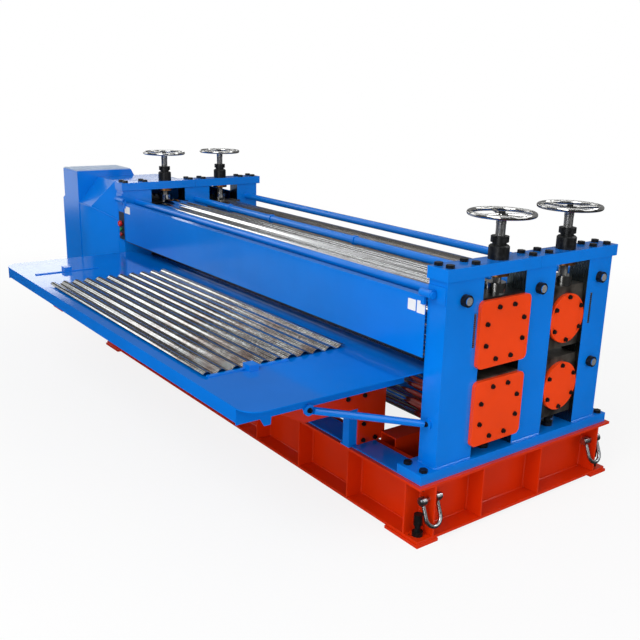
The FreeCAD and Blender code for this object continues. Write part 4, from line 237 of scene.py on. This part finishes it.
def enamel(name, code, gloss):
    """Two-pack machine enamel, sprayed: a glossy coat with slight orange peel and uneven patches
    where the coat is thinner."""
    made, tree, bsdf, place = shader(name)
    colour = linear(code)
    cloud = noise(tree, place, 400 * MM, 3.0)
    tree.links.new(ramp(tree, cloud, shade(colour, 0.94), shade(colour, 1.05), 0.35, 0.65),
                   bsdf.inputs["Base Color"])
    grit = noise(tree, place, 60 * MM, 6.0, Roughness=0.7)
    tree.links.new(spread(tree, grit, gloss, gloss + 0.08), bsdf.inputs["Roughness"])
    peel = noise(tree, place, 9 * MM, 2.0)
    bump = add(tree, "ShaderNodeBump", Strength=0.03, Distance=0.3 * MM, Height=peel)
    tree.links.new(bump.outputs["Normal"], bsdf.inputs["Normal"])
    return made


def cast_steel():
    """Cast and oiled bearing blocks: grey-brown, dull and slightly pitted, darker where oil has run."""
    made, tree, bsdf, place = shader("cast_steel")
    stain = noise(tree, place, 90 * MM, 6.0)
    tree.links.new(ramp(tree, stain, linear("#2e2b28"), linear("#77726a"), 0.35, 0.7),
                   bsdf.inputs["Base Color"])
    tree.links.new(spread(tree, stain, 0.38, 0.6), bsdf.inputs["Roughness"])
    bsdf.inputs["Metallic"].default_value = 0.8
    pits = noise(tree, place, 3 * MM, 3.0)
    bump = add(tree, "ShaderNodeBump", Strength=0.25, Distance=0.4 * MM, Height=pits)
    tree.links.new(bump.outputs["Normal"], bsdf.inputs["Normal"])
    return made


def marked_scale(pitch):
    """Etched steel rule: satin grey with dark lines across at an even pitch."""
    made, tree, bsdf, place = shader("etched_scale")
    height = add(tree, "ShaderNodeSeparateXYZ", Vector=place).outputs["Z"]
    line = add(tree, "ShaderNodeMath", {"operation": "PINGPONG"}, _0=height, _1=pitch / 2).outputs["Value"]
    tick = add(tree, "ShaderNodeMath", {"operation": "LESS_THAN"}, _0=line, _1=pitch / 8).outputs["Value"]
    tree.links.new(ramp(tree, tick, linear("#8b8d8e"), linear("#141414")), bsdf.inputs["Base Color"])
    tree.links.new(spread(tree, tick, 0.3, 0.6), bsdf.inputs["Roughness"])
    bsdf.inputs["Metallic"].default_value = 0.9
    return made


def black_oxide():
    """Heat-blackened steel fasteners: near black with a satin, slightly oily face and pale wear."""
    made, tree, bsdf, place = shader("black_oxide_steel")
    grit = noise(tree, place, 14 * MM, 5.0)
    tree.links.new(ramp(tree, grit, linear("#151617"), linear("#2b2c2d"), 0.4, 0.75),
                   bsdf.inputs["Base Color"])
    tree.links.new(spread(tree, grit, 0.28, 0.5), bsdf.inputs["Roughness"])
    bsdf.inputs["Metallic"].default_value = 0.55
    return made


def ground_steel(name, code, along, tone=0.75, gloss=0.18):
    """Ground and oiled steel: fine scratches along the grinding direction and thin oil stains."""
    made, tree, bsdf, place = shader(name)
    colour = linear(code)
    stretch = [scale_for(3 * MM)] * 3
    stretch[along] = scale_for(260 * MM)
    lay = add(tree, "ShaderNodeMapping", Vector=place, Scale=stretch).outputs["Vector"]
    scratch = noise(tree, lay, 1.0, 4.0)
    stain = noise(tree, place, 120 * MM, 5.0)
    clean = ramp(tree, scratch, shade(colour, tone), colour, 0.3, 0.7)
    oily = add(tree, "ShaderNodeMapRange", Value=stain, From_Min=0.52, From_Max=0.75,
               To_Min=0.0, To_Max=0.25)
    mixed = add(tree, "ShaderNodeMix", {"data_type": "RGBA"}, _0=oily.outputs["Result"], _6=clean,
                _7=linear("#6e6252"))
    tree.links.new(mixed.outputs[2], bsdf.inputs["Base Color"])
    tree.links.new(spread(tree, scratch, gloss, 2 * gloss), bsdf.inputs["Roughness"])
    bsdf.inputs["Metallic"].default_value = 1.0
    bump = add(tree, "ShaderNodeBump", Strength=0.03, Distance=0.1 * MM, Height=scratch)
    tree.links.new(bump.outputs["Normal"], bsdf.inputs["Normal"])
    return made


def galvanised(sizes, code):
    """Hot-dip galvanised sheet: faint zinc crystals, rolling streaks along the flutes and a brownish
    stain of oil towards the near end."""
    made, tree, bsdf, place = shader("galvanised_sheet")
    colour = linear(code)
    crystal = add(tree, "ShaderNodeTexVoronoi", Vector=place, Scale=scale_for(sizes.spangle))
    tone = add(tree, "ShaderNodeSeparateColor", Color=crystal.outputs["Color"]).outputs["Red"]
    spangle = ramp(tree, tone, shade(colour, 0.68), shade(colour, 1.15))
    fine = scale_for(12 * MM)
    lay = add(tree, "ShaderNodeMapping", Vector=place, Scale=(scale_for(500 * MM), fine, fine))
    streak = noise(tree, lay.outputs["Vector"], 1.0, 4.0)
    rolled = add(tree, "ShaderNodeMix", {"data_type": "RGBA", "blend_type": "MULTIPLY"}, _0=0.6, _6=spangle,
                 _7=ramp(tree, streak, linear("#7d7f80"), linear("#ffffff"), 0.35, 0.6))
    along = add(tree, "ShaderNodeSeparateXYZ", Vector=place).outputs["X"]
    near = add(tree, "ShaderNodeMapRange", Value=along, From_Min=-0.6, From_Max=1.1, To_Min=0.1, To_Max=0.8)
    blot = noise(tree, place, 160 * MM, 5.0)
    wet = add(tree, "ShaderNodeMapRange", Value=blot, From_Min=0.4, From_Max=0.65, To_Min=0.0, To_Max=1.0)
    oil = add(tree, "ShaderNodeMath", {"operation": "MULTIPLY"}, _0=near.outputs["Result"],
              _1=wet.outputs["Result"])
    mixed = add(tree, "ShaderNodeMix", {"data_type": "RGBA", "blend_type": "MULTIPLY"},
                _0=oil.outputs["Value"], _6=rolled.outputs[2], _7=linear("#bd9480"))
    tree.links.new(mixed.outputs[2], bsdf.inputs["Base Color"])
    tree.links.new(spread(tree, tone, 0.06, 0.15), bsdf.inputs["Roughness"])
    bsdf.inputs["Metallic"].default_value = 1.0
    return made


def chrome():
    """Chrome plate on the handwheels: mirror bright with faint finger smears."""
    made, tree, bsdf, place = shader("chrome_plate")
    smear = noise(tree, place, 35 * MM, 4.0)
    tree.links.new(ramp(tree, smear, linear("#c4c4c2"), linear("#dcdcda"), 0.4, 0.7),
                   bsdf.inputs["Base Color"])
    tree.links.new(spread(tree, smear, 0.08, 0.2), bsdf.inputs["Roughness"])
    bsdf.inputs["Metallic"].default_value = 1.0
    return made


def bronze():
    """Cast and turned bronze nuts: warm brown metal with turning lines."""
    made, tree, bsdf, place = shader("turned_bronze")
    around, turned = scale_for(125 * MM), scale_for(2.5 * MM)
    lay = add(tree, "ShaderNodeMapping", Vector=place, Scale=(around, around, turned)).outputs["Vector"]
    lines = noise(tree, lay, 1.0, 2.0)
    tree.links.new(ramp(tree, lines, linear("#7c4f2c"), linear("#b07a48"), 0.35, 0.65),
                   bsdf.inputs["Base Color"])
    tree.links.new(spread(tree, lines, 0.25, 0.45), bsdf.inputs["Roughness"])
    bsdf.inputs["Metallic"].default_value = 1.0
    return made


def rubber():
    """Moulded black rubber strip: dull, with a fine grey bloom."""
    made, tree, bsdf, place = shader("moulded_rubber")
    bloom = noise(tree, place, 25 * MM, 4.0)
    tree.links.new(ramp(tree, bloom, linear("#0c0c0d"), linear("#202122"), 0.4, 0.8),
                   bsdf.inputs["Base Color"])
    tree.links.new(spread(tree, bloom, 0.55, 0.8), bsdf.inputs["Roughness"])
    return made


def moulded_button(name, code):
    """Moulded ABS button: glossy and evenly coloured, with slight handling marks."""
    made, tree, bsdf, place = shader(name)
    colour = linear(code)
    mark = noise(tree, place, 12 * MM, 3.0)
    tree.links.new(ramp(tree, mark, shade(colour, 0.85), colour, 0.3, 0.6), bsdf.inputs["Base Color"])
    tree.links.new(spread(tree, mark, 0.2, 0.35), bsdf.inputs["Roughness"])
    return made


def threaded_steel(sizes):
    """Turned adjusting screw: grey steel with thread ridges and grease in the roots."""
    made, tree, bsdf, place = shader("threaded_steel")
    one_wave = math.pi / 10  # length in which the Wave texture repeats once at a scale of 1
    ridges = 2  # ridges drawn within one pitch
    settings = {"wave_type": "BANDS", "bands_direction": "Z", "wave_profile": "TRI"}
    wave = add(tree, "ShaderNodeTexWave", settings, Vector=place,
               Scale=one_wave * ridges / sizes.thread_pitch, Distortion=0.0).outputs["Fac"]
    tree.links.new(ramp(tree, wave, linear("#2c2b29"), linear("#9c9c9b"), 0.15, 0.6),
                   bsdf.inputs["Base Color"])
    tree.links.new(spread(tree, wave, 0.5, 0.25), bsdf.inputs["Roughness"])
    bsdf.inputs["Metallic"].default_value = 0.9
    bump = add(tree, "ShaderNodeBump", Strength=0.6, Distance=1.5 * MM, Height=wave)
    tree.links.new(bump.outputs["Normal"], bsdf.inputs["Normal"])
    return made


def studio_floor(code):
    """Matte seamless floor: white for the camera and in reflections, slightly shaded near the machine."""
    made, tree, bsdf, place = shader("studio_floor")
    tree.nodes.remove(bsdf)
    seen = seen_directly(tree)
    apart = add(tree, "ShaderNodeVectorMath", {"operation": "LENGTH"}, Vector=place).outputs["Value"]
    white = add(tree, "ShaderNodeMapRange", Value=apart, From_Min=2.5, From_Max=6.0,
                To_Min=0.85, To_Max=1.0)
    part = add(tree, "ShaderNodeMath", {"operation": "MULTIPLY"}, _0=seen,
               _1=white.outputs["Result"]).outputs["Value"]
    matte = add(tree, "ShaderNodeBsdfDiffuse", Color=linear(code)).outputs["BSDF"]
    glow = add(tree, "ShaderNodeEmission", Color=(1, 1, 1, 1), Strength=1.0).outputs["Emission"]
    both = add(tree, "ShaderNodeMixShader", _0=part, _1=matte, _2=glow).outputs["Shader"]
    tree.links.new(both, tree.nodes["Material Output"].inputs["Surface"])
    return made


def card_paint(name, level):
    """Plain studio card of one grey level, glowing so that it needs no lamp."""
    made = bpy.data.materials.new(name)
    made.use_nodes = True
    tree = made.node_tree
    tree.nodes.remove(tree.nodes["Principled BSDF"])
    glow = add(tree, "ShaderNodeEmission", Color=(level, level, level, 1), Strength=1.0)
    tree.links.new(glow.outputs["Emission"], tree.nodes["Material Output"].inputs["Surface"])
    return made


# Dressing of the solids
def finish_node(name, materials, rule=None):
    """Give a solid its materials; the rule picks one by a face's centre and normal."""
    mesh = NODES[name].data
    mesh.materials.clear()
    for material in materials:
        mesh.materials.append(material)
    for face in mesh.polygons:
        face.material_index = rule(face.center, face.normal) if rule else 0
        face.use_smooth = True


def soften(name, width, angle=35):
    """Join the loose triangles, round the edges and keep flat faces flat."""
    piece = NODES[name]
    weld = piece.modifiers.new("joined", "WELD")
    weld.merge_threshold = 0.01 * MM
    if width:
        bevel = piece.modifiers.new("edges", "BEVEL")
        bevel.width = width
        bevel.segments = 2
        bevel.limit_method = "ANGLE"
        bevel.angle_limit = math.radians(angle)
    split = piece.modifiers.new("creases", "EDGE_SPLIT")
    split.split_angle = math.radians(angle)
    if width:
        flat = piece.modifiers.new("flat_faces", "WEIGHTED_NORMAL")
        flat.weight = 100


def piece_from(bm, name, body, material, smooth=True):
    """Finished piece from a bmesh, riding on a body."""
    mesh = bpy.data.meshes.new(name)
    bm.normal_update()
    bm.to_mesh(mesh)
    bm.free()
    piece = bpy.data.objects.new(name, mesh)
    bpy.context.scene.collection.objects.link(piece)
    mesh.materials.append(material)
    for face in mesh.polygons:
        face.use_smooth = smooth
    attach(piece, body)
    return piece


def bead(bm, sizes, start, stop, first, second):
    """Rippled fillet weld between two plates that leave its root in the two directions."""
    ripple_root, end_taper = 0.86, 0.2
    start, stop = Vector(start), Vector(stop)
    first, second = Vector(first).normalized(), Vector(second).normalized()
    rings = max(4, round(2 * (stop - start).length / sizes.weld_ripple))
    made = bmesh.ops.create_grid(bm, x_segments=rings, y_segments=3, size=0.5)
    for vert in made["verts"]:
        share = vert.co.x + 0.5
        angle = (vert.co.y + 0.5) * math.pi / 2
        ring = round(share * rings)
        leg = sizes.weld_leg * (1.0 if ring % 2 else ripple_root)
        if ring in (0, rings):
            leg *= end_taper
        out = first * math.cos(angle) + second * math.sin(angle)
        vert.co = start.lerp(stop, share) + leg * out


class ROLLFORMER_OT_enamel(bpy.types.Operator):
    """Blue and orange machine enamel on the painted solids"""
    bl_idname = "rollformer.enamel"
    bl_label = "Painted frame, base, table and guard"

    def execute(self, context):
        colours = context.scene.roll_former_colours
        sizes = context.scene.roll_former_sizes
        blue = enamel("blue_enamel", colours.blue, 0.14)
        # The output table gets a darker copy of the blue enamel: painted shade
        smooth = enamel("table_enamel_painted_shade", colours.table, 0.05)
        # Base orange, darker than the covers partly as painted shade
        base = enamel("base_enamel_part_painted_shade", colours.base, 0.20)
        cover = enamel("cover_enamel", colours.cover, 0.16)
        lid = enamel("lid_enamel", colours.lid, 0.36)
        black = enamel("black_enamel", "#16181a", 0.30)
        # Bare machined steel on the window sides, coloured a dark teal-grey that is partly painted shade
        # inside the windows
        guide = ground_steel("guide_steel_part_painted_shade", "#6a777a", 2, 0.6)
        for item in frame["record"]["subparts"]:
            name = item["node"]
            if item["material_slot"] == "blue_paint":
                finish_node(name, [smooth if name == "output_table" else blue])
            elif item["material_slot"] == "orange_paint":
                finish_node(name, [cover if name in COVERS else base])
            else:
                continue
            soften(name, sizes.edge_bevel * ROUNDED.get(name, 0))
        lid_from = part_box("drive_cabinet")[1].z - 8 * MM
        finish_node("drive_cabinet", [blue, lid], lambda centre, normal: int(centre.z > lid_from))
        front_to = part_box("control_box")[0].y + 1 * MM
        finish_node("control_box", [blue, black], lambda centre, normal: int(centre.y < front_to))
        outer_skin = 5 * MM
        for name in ("near_columns", "far_columns"):
            low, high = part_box(name)

            def window_side(centre, normal, low=low, high=high):
                inside = low.y + outer_skin < centre.y < high.y - outer_skin
                return int(abs(normal.y) > 0.9 and inside)
            finish_node(name, [blue, guide], window_side)
        return {"FINISHED"}


class ROLLFORMER_OT_metal(bpy.types.Operator):
    """Rolls, gears, bolts, screws, shackles, sheets, rubber and buttons"""
    bl_idname = "rollformer.metal"
    bl_label = "Rolls, gears, bolts, screws and small parts"

    def execute(self, context):
        colours = context.scene.roll_former_colours
        sizes = context.scene.roll_former_sizes
        roll = ground_steel("ground_roll_steel", colours.steel, 0, 0.85, 0.09)
        gear = ground_steel("cut_gear_steel", "#77787a", 1)
        dark_roll = ground_steel("oiled_roll_steel", "#8f8a84", 0, 0.5)
        zinc = ground_steel("zinc_plated_steel", "#b4b8bb", 2, 0.9)
        cast = cast_steel()
        black = black_oxide()
        screw = threaded_steel(sizes)
        warm = bronze()
        coated = galvanised(sizes, colours.sheet)
        strip = rubber()
        for name in ROLLS:
            finish_node(name, [dark_roll if name == "rear_upper_roll" else roll])
        for name in ("rear_upper_chocks", "lower_chocks"):
            finish_node(name, [cast])
        finish_node("gap_scales", [marked_scale(10 * MM)])
        for name in GEARS + ["drive_pinion"]:
            finish_node(name, [gear])
        for name in SHACKLES:
            finish_node(name, [zinc])
        for name in BOLTS + BLACK_STEEL:
            finish_node(name, [black])
        finish_node("screw_nuts", [warm])
        finish_node("corrugated_sheets", [coated])
        finish_node("guard_seal", [strip])
        finish_node("emergency_button", [moulded_button("red_button", "#c8140f")])
        finish_node("stop_button", [moulded_button("dark_red_button", "#a01310")])
        finish_node("start_button", [moulded_button("green_button", "#17803a")])
        self.handwheels(black, screw)
        self.rods(black)
        for item in frame["record"]["subparts"]:
            if not NODES[item["node"]].modifiers:
                soften(item["node"], 0)
        return {"FINISHED"}

    def handwheels(self, black, screw):
        """Chromed rim and spokes, a black hub nut, a threaded screw and a turned foot ring."""
        bright = chrome()
        polished = ground_steel("turned_foot_steel", "#b4b4b2", 2, 0.85, 0.12)
        rim_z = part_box("near_front_handwheel")[1].z - 9 * MM
        nut_from, nut_reach = rim_z + 1 * MM, 17 * MM
        screw_to = rim_z - 40 * MM
        foot_high, screw_reach = 51 * MM, 24 * MM
        for name in HANDWHEELS:
            low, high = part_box(name)
            middle = (low + high) / 2

            def part(centre, normal, middle=middle, low=low):
                reach = math.hypot(centre.x - middle.x, centre.y - middle.y)
                if centre.z > nut_from and reach < nut_reach:
                    return 2
                if centre.z < low.z + foot_high and reach > screw_reach:
                    return 3
                return int(centre.z < screw_to)
            finish_node(name, [bright, screw, black, polished], part)

    def rods(self, black):
        """Blue tie rods with turned stud ends, and blue table struts with black bolts."""
        blue = bpy.data.materials["blue_enamel"]
        stud = ground_steel("turned_stud_steel", "#f2f3f3", 0, 0.3, 0.45)
        stud_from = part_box("tie_rods")[1].x - 34 * MM
        finish_node("tie_rods", [blue, stud], lambda centre, normal: int(abs(centre.x) > stud_from))
        column_bolt_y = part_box("table_struts")[1].y - 12 * MM
        bolts = [Vector((end * STRUT_COLUMN_BOLT_X, column_bolt_y, STRUT_COLUMN_BOLT_Z)) for end in (1, -1)]
        bolts += [Vector(place) for place in STRUT_TABLE_BOLTS]

        def bolt(centre, normal):
            return int(min((centre - place).length for place in bolts) < 15 * MM)
        finish_node("table_struts", [blue, black], bolt)


class ROLLFORMER_OT_bare_plates(bpy.types.Operator):
    """Small white plates on the guard, left bare"""
    bl_idname = "rollformer.bare_plates"
    bl_label = "Bare plates on the guard"

    def execute(self, context):
        sizes = context.scene.roll_former_sizes
        white = enamel("white_enamel", "#e9eaea", 0.4)
        guard_skin, corner, tiny = 4 * MM, 4 * MM, 1e-6
        face_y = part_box("guard_seal")[0].y - guard_skin
        for name, x, z, wide, tall in BARE_PLATES:
            bm = bmesh.new()
            bmesh.ops.create_cube(bm, size=1.0)
            bmesh.ops.scale(bm, vec=(wide, sizes.plate_thick, tall), verts=bm.verts)
            through = [e for e in bm.edges if abs(e.verts[0].co.x - e.verts[1].co.x) < tiny
                       and abs(e.verts[0].co.z - e.verts[1].co.z) < tiny]
            bmesh.ops.bevel(bm, geom=through, offset=corner, segments=4, profile=0.5, affect="EDGES",
                            material=-1)
            bmesh.ops.translate(bm, vec=(x, face_y - sizes.plate_thick / 2, z), verts=bm.verts)
            piece_from(bm, name, "guard", white, smooth=False)
        return {"FINISHED"}


class ROLLFORMER_OT_welds(bpy.types.Operator):
    """Painted fillet welds of the base and the stands, and the seam of the drive housing"""
    bl_idname = "rollformer.welds"
    bl_label = "Weld beads and housing seam"

    def execute(self, context):
        sizes = context.scene.roll_former_sizes
        # The base welds take the base enamel, which is darker partly as painted shade
        base = bpy.data.materials["base_enamel_part_painted_shade"]
        blue = bpy.data.materials["blue_enamel"]
        bm = bmesh.new()
        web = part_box("base_beams")[1].x - WEB_BEHIND_FLANGE
        for end in (1, -1):
            x = end * web
            for y, side in END_STIFFENER_FACES:
                bead(bm, sizes, (x, y, WEB_LOW), (x, y, WEB_HIGH), (end, 0, 0), (0, side, 0))
            for z, up in ((WEB_LOW, 1), (WEB_HIGH, -1)):
                bead(bm, sizes, (x, -END_WEB_Y, z), (x, END_WEB_Y, z), (end, 0, 0), (0, 0, up))
        for side in (1, -1):
            y = side * SIDE_WEB_Y
            for step in range(-SIDE_STIFFENERS, SIDE_STIFFENERS + 1):
                for half in (-STIFFENER_HALF, STIFFENER_HALF):
                    x = step * SIDE_STIFFENER_STEP + half
                    bead(bm, sizes, (x, y, WEB_LOW), (x, y, WEB_HIGH), (0, side, 0), (half, 0, 0))
            for z, up in ((WEB_LOW, 1), (WEB_HIGH, -1)):
                bead(bm, sizes, (-SIDE_WEB_X, y, z), (SIDE_WEB_X, y, z), (0, side, 0), (0, 0, up))
        piece_from(bm, "base_welds", "frame", base)
        bm = bmesh.new()
        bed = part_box("bed_plates")[1].z
        for name, end in (("near_columns", 1), ("far_columns", -1)):
            low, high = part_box(name)
            inner, outer = (low.x, high.x) if end > 0 else (high.x, low.x)
            edges = (low.y, *WINDOW_EDGES, high.y)
            for start, stop in zip(edges[::2], edges[1::2]):
                bead(bm, sizes, (outer, start, bed), (outer, stop, bed), (end, 0, 0), (0, 0, 1))
                bead(bm, sizes, (inner, start, bed), (inner, stop, bed), (-end, 0, 0), (0, 0, 1))
            for y, out in ((low.y, -1), (high.y, 1)):
                bead(bm, sizes, (inner, y, bed), (outer, y, bed), (0, out, 0), (0, 0, 1))
        piece_from(bm, "stand_welds", "frame", blue)
        bm = bmesh.new()
        corner, fold, end = HOUSING_SEAM
        bead(bm, sizes, corner, fold, (0, -1, 0), (0, -0.3, 1))
        bead(bm, sizes, fold, end, (0.3, -1, 0), (0, -0.2, 1))
        piece_from(bm, "housing_seam", "frame", blue)
        return {"FINISHED"}


class ROLLFORMER_OT_stage(bpy.types.Operator):
    """Floor, lamps, surroundings and camera"""
    bl_idname = "rollformer.stage"
    bl_label = "Floor, lamps and camera"

    def execute(self, context):
        colours = context.scene.roll_former_colours
        sizes = context.scene.roll_former_sizes
        bm = bmesh.new()
        bmesh.ops.create_grid(bm, x_segments=2, y_segments=2, size=40)
        mesh = bpy.data.meshes.new("studio_floor")
        bm.to_mesh(mesh)
        bm.free()
        floor = bpy.data.objects.new("studio_floor", mesh)
        floor.location.z = -1 * MM
        context.scene.collection.objects.link(floor)
        mesh.materials.append(studio_floor(colours.floor))
        self.cards(context)
        self.lamps(context, sizes)
        self.surroundings(context, sizes)
        self.camera(context)
        context.scene.view_settings.view_transform = "Standard"
        return {"FINISHED"}

    def cards(self, context):
        """Grey and white cards around the machine, which only shiny surfaces see."""
        for name, centre, facing, size, level in CARDS:
            bm = bmesh.new()
            bmesh.ops.create_grid(bm, x_segments=1, y_segments=1, size=0.5)
            bmesh.ops.scale(bm, vec=(size[0], size[1], 1), verts=bm.verts)
            mesh = bpy.data.meshes.new(name)
            bm.to_mesh(mesh)
            bm.free()
            card = bpy.data.objects.new(name, mesh)
            turn = Vector(facing).to_track_quat("Z", "Y")
            card.rotation_euler = turn.to_euler()
            card.location = centre
            context.scene.collection.objects.link(card)
            mesh.materials.append(card_paint(name, level))
            for ray in ("camera", "diffuse", "transmission", "volume_scatter", "shadow"):
                setattr(card, f"visible_{ray}", False)

    def lamps(self, context, sizes):
        """Three large soft lamps, from above in front, from the near end and from low in front."""
        target = Vector((-0.2, -0.2, 0.7))
        for name, spot, power, size in (
            ("key_lamp", Vector((2.4, -5.5, 5.5)), sizes.key_light, 4.0),
            ("fill_lamp", Vector((6.5, 1.5, 3.0)), sizes.fill_light, 4.0),
            ("low_lamp", Vector((4.2, -5.6, 1.2)), sizes.low_light, 2.5),
        ):
            lamp = bpy.data.lights.new(name, "AREA")
            lamp.energy = power
            lamp.size = size
            holder = bpy.data.objects.new(name, lamp)
            holder.location = spot
            holder.rotation_euler = (target - spot).to_track_quat("-Z", "Y").to_euler()
            context.scene.collection.objects.link(holder)

    def surroundings(self, context, sizes):
        """Even light from all around; the camera, glossy faces and clear ones see plain white."""
        world = bpy.data.worlds.new("studio")
        context.scene.world = world
        world.use_nodes = True
        tree = world.node_tree
        seen = seen_directly(tree)
        light = tree.nodes["Background"]
        light.inputs["Color"].default_value = (1, 1, 1, 1)
        light.inputs["Strength"].default_value = sizes.world_light
        white = add(tree, "ShaderNodeBackground", Color=(1, 1, 1, 1), Strength=1.0).outputs["Background"]
        both = add(tree, "ShaderNodeMixShader", _0=seen, _1=light.outputs["Background"], _2=white)
        tree.links.new(both.outputs["Shader"], tree.nodes["World Output"].inputs["Surface"])

    def camera(self, context):
        """Camera where the photograph was taken."""
        yaw, pitch, roll = (math.radians(angle) for angle in CAMERA_ANGLES)
        flat = math.cos(pitch)
        forward = Vector((-math.sin(yaw) * flat, math.cos(yaw) * flat, math.sin(pitch)))
        level = forward.cross(Vector((0, 0, 1))).normalized()
        upright = level.cross(forward)
        right = math.cos(roll) * level + math.sin(roll) * upright
        up = math.cos(roll) * upright - math.sin(roll) * level
        lens = bpy.data.cameras.new("camera")
        lens.sensor_width = 36.0
        lens.lens = FOCAL_LENGTH
        lens.clip_end = 200.0
        holder = bpy.data.objects.new("camera", lens)
        turn = Matrix((right, up, -forward)).transposed().to_4x4()
        holder.matrix_world = Matrix.Translation(Vector(CAMERA_PLACE)) @ turn
        context.scene.collection.objects.link(holder)
        context.scene.camera = holder


class ROLLFORMER_PT_panel(bpy.types.Panel):
    bl_idname = "ROLLFORMER_PT_panel"
    bl_label = "Roll former"
    bl_space_type = "VIEW_3D"
    bl_region_type = "UI"
    bl_category = "Roll former"

    def draw(self, context):
        for group in (context.scene.roll_former_colours, context.scene.roll_former_sizes):
            for name in group.bl_rna.properties.keys():
                if name not in ("rna_type", "name"):
                    self.layout.prop(group, name)
        for operator in OPERATORS:
            self.layout.operator(operator.bl_idname)


OPERATORS = (
    ROLLFORMER_OT_enamel,
    ROLLFORMER_OT_metal,
    ROLLFORMER_OT_bare_plates,
    ROLLFORMER_OT_welds,
    ROLLFORMER_OT_stage,
)
CLASSES = (RollFormerColours, RollFormerSizes, *OPERATORS, ROLLFORMER_PT_panel)


def register():
    for cls in CLASSES:
        bpy.utils.register_class(cls)
    bpy.types.Scene.roll_former_colours = bpy.props.PointerProperty(type=RollFormerColours)
    bpy.types.Scene.roll_former_sizes = bpy.props.PointerProperty(type=RollFormerSizes)


def unregister():
    del bpy.types.Scene.roll_former_sizes
    del bpy.types.Scene.roll_former_colours
    for cls in reversed(CLASSES):
        bpy.utils.unregister_class(cls)


def main():
    register()
    bpy.ops.rollformer.enamel()
    bpy.ops.rollformer.metal()
    bpy.ops.rollformer.bare_plates()
    bpy.ops.rollformer.welds()
    bpy.ops.rollformer.stage()


if __name__ == "__main__":
    main()
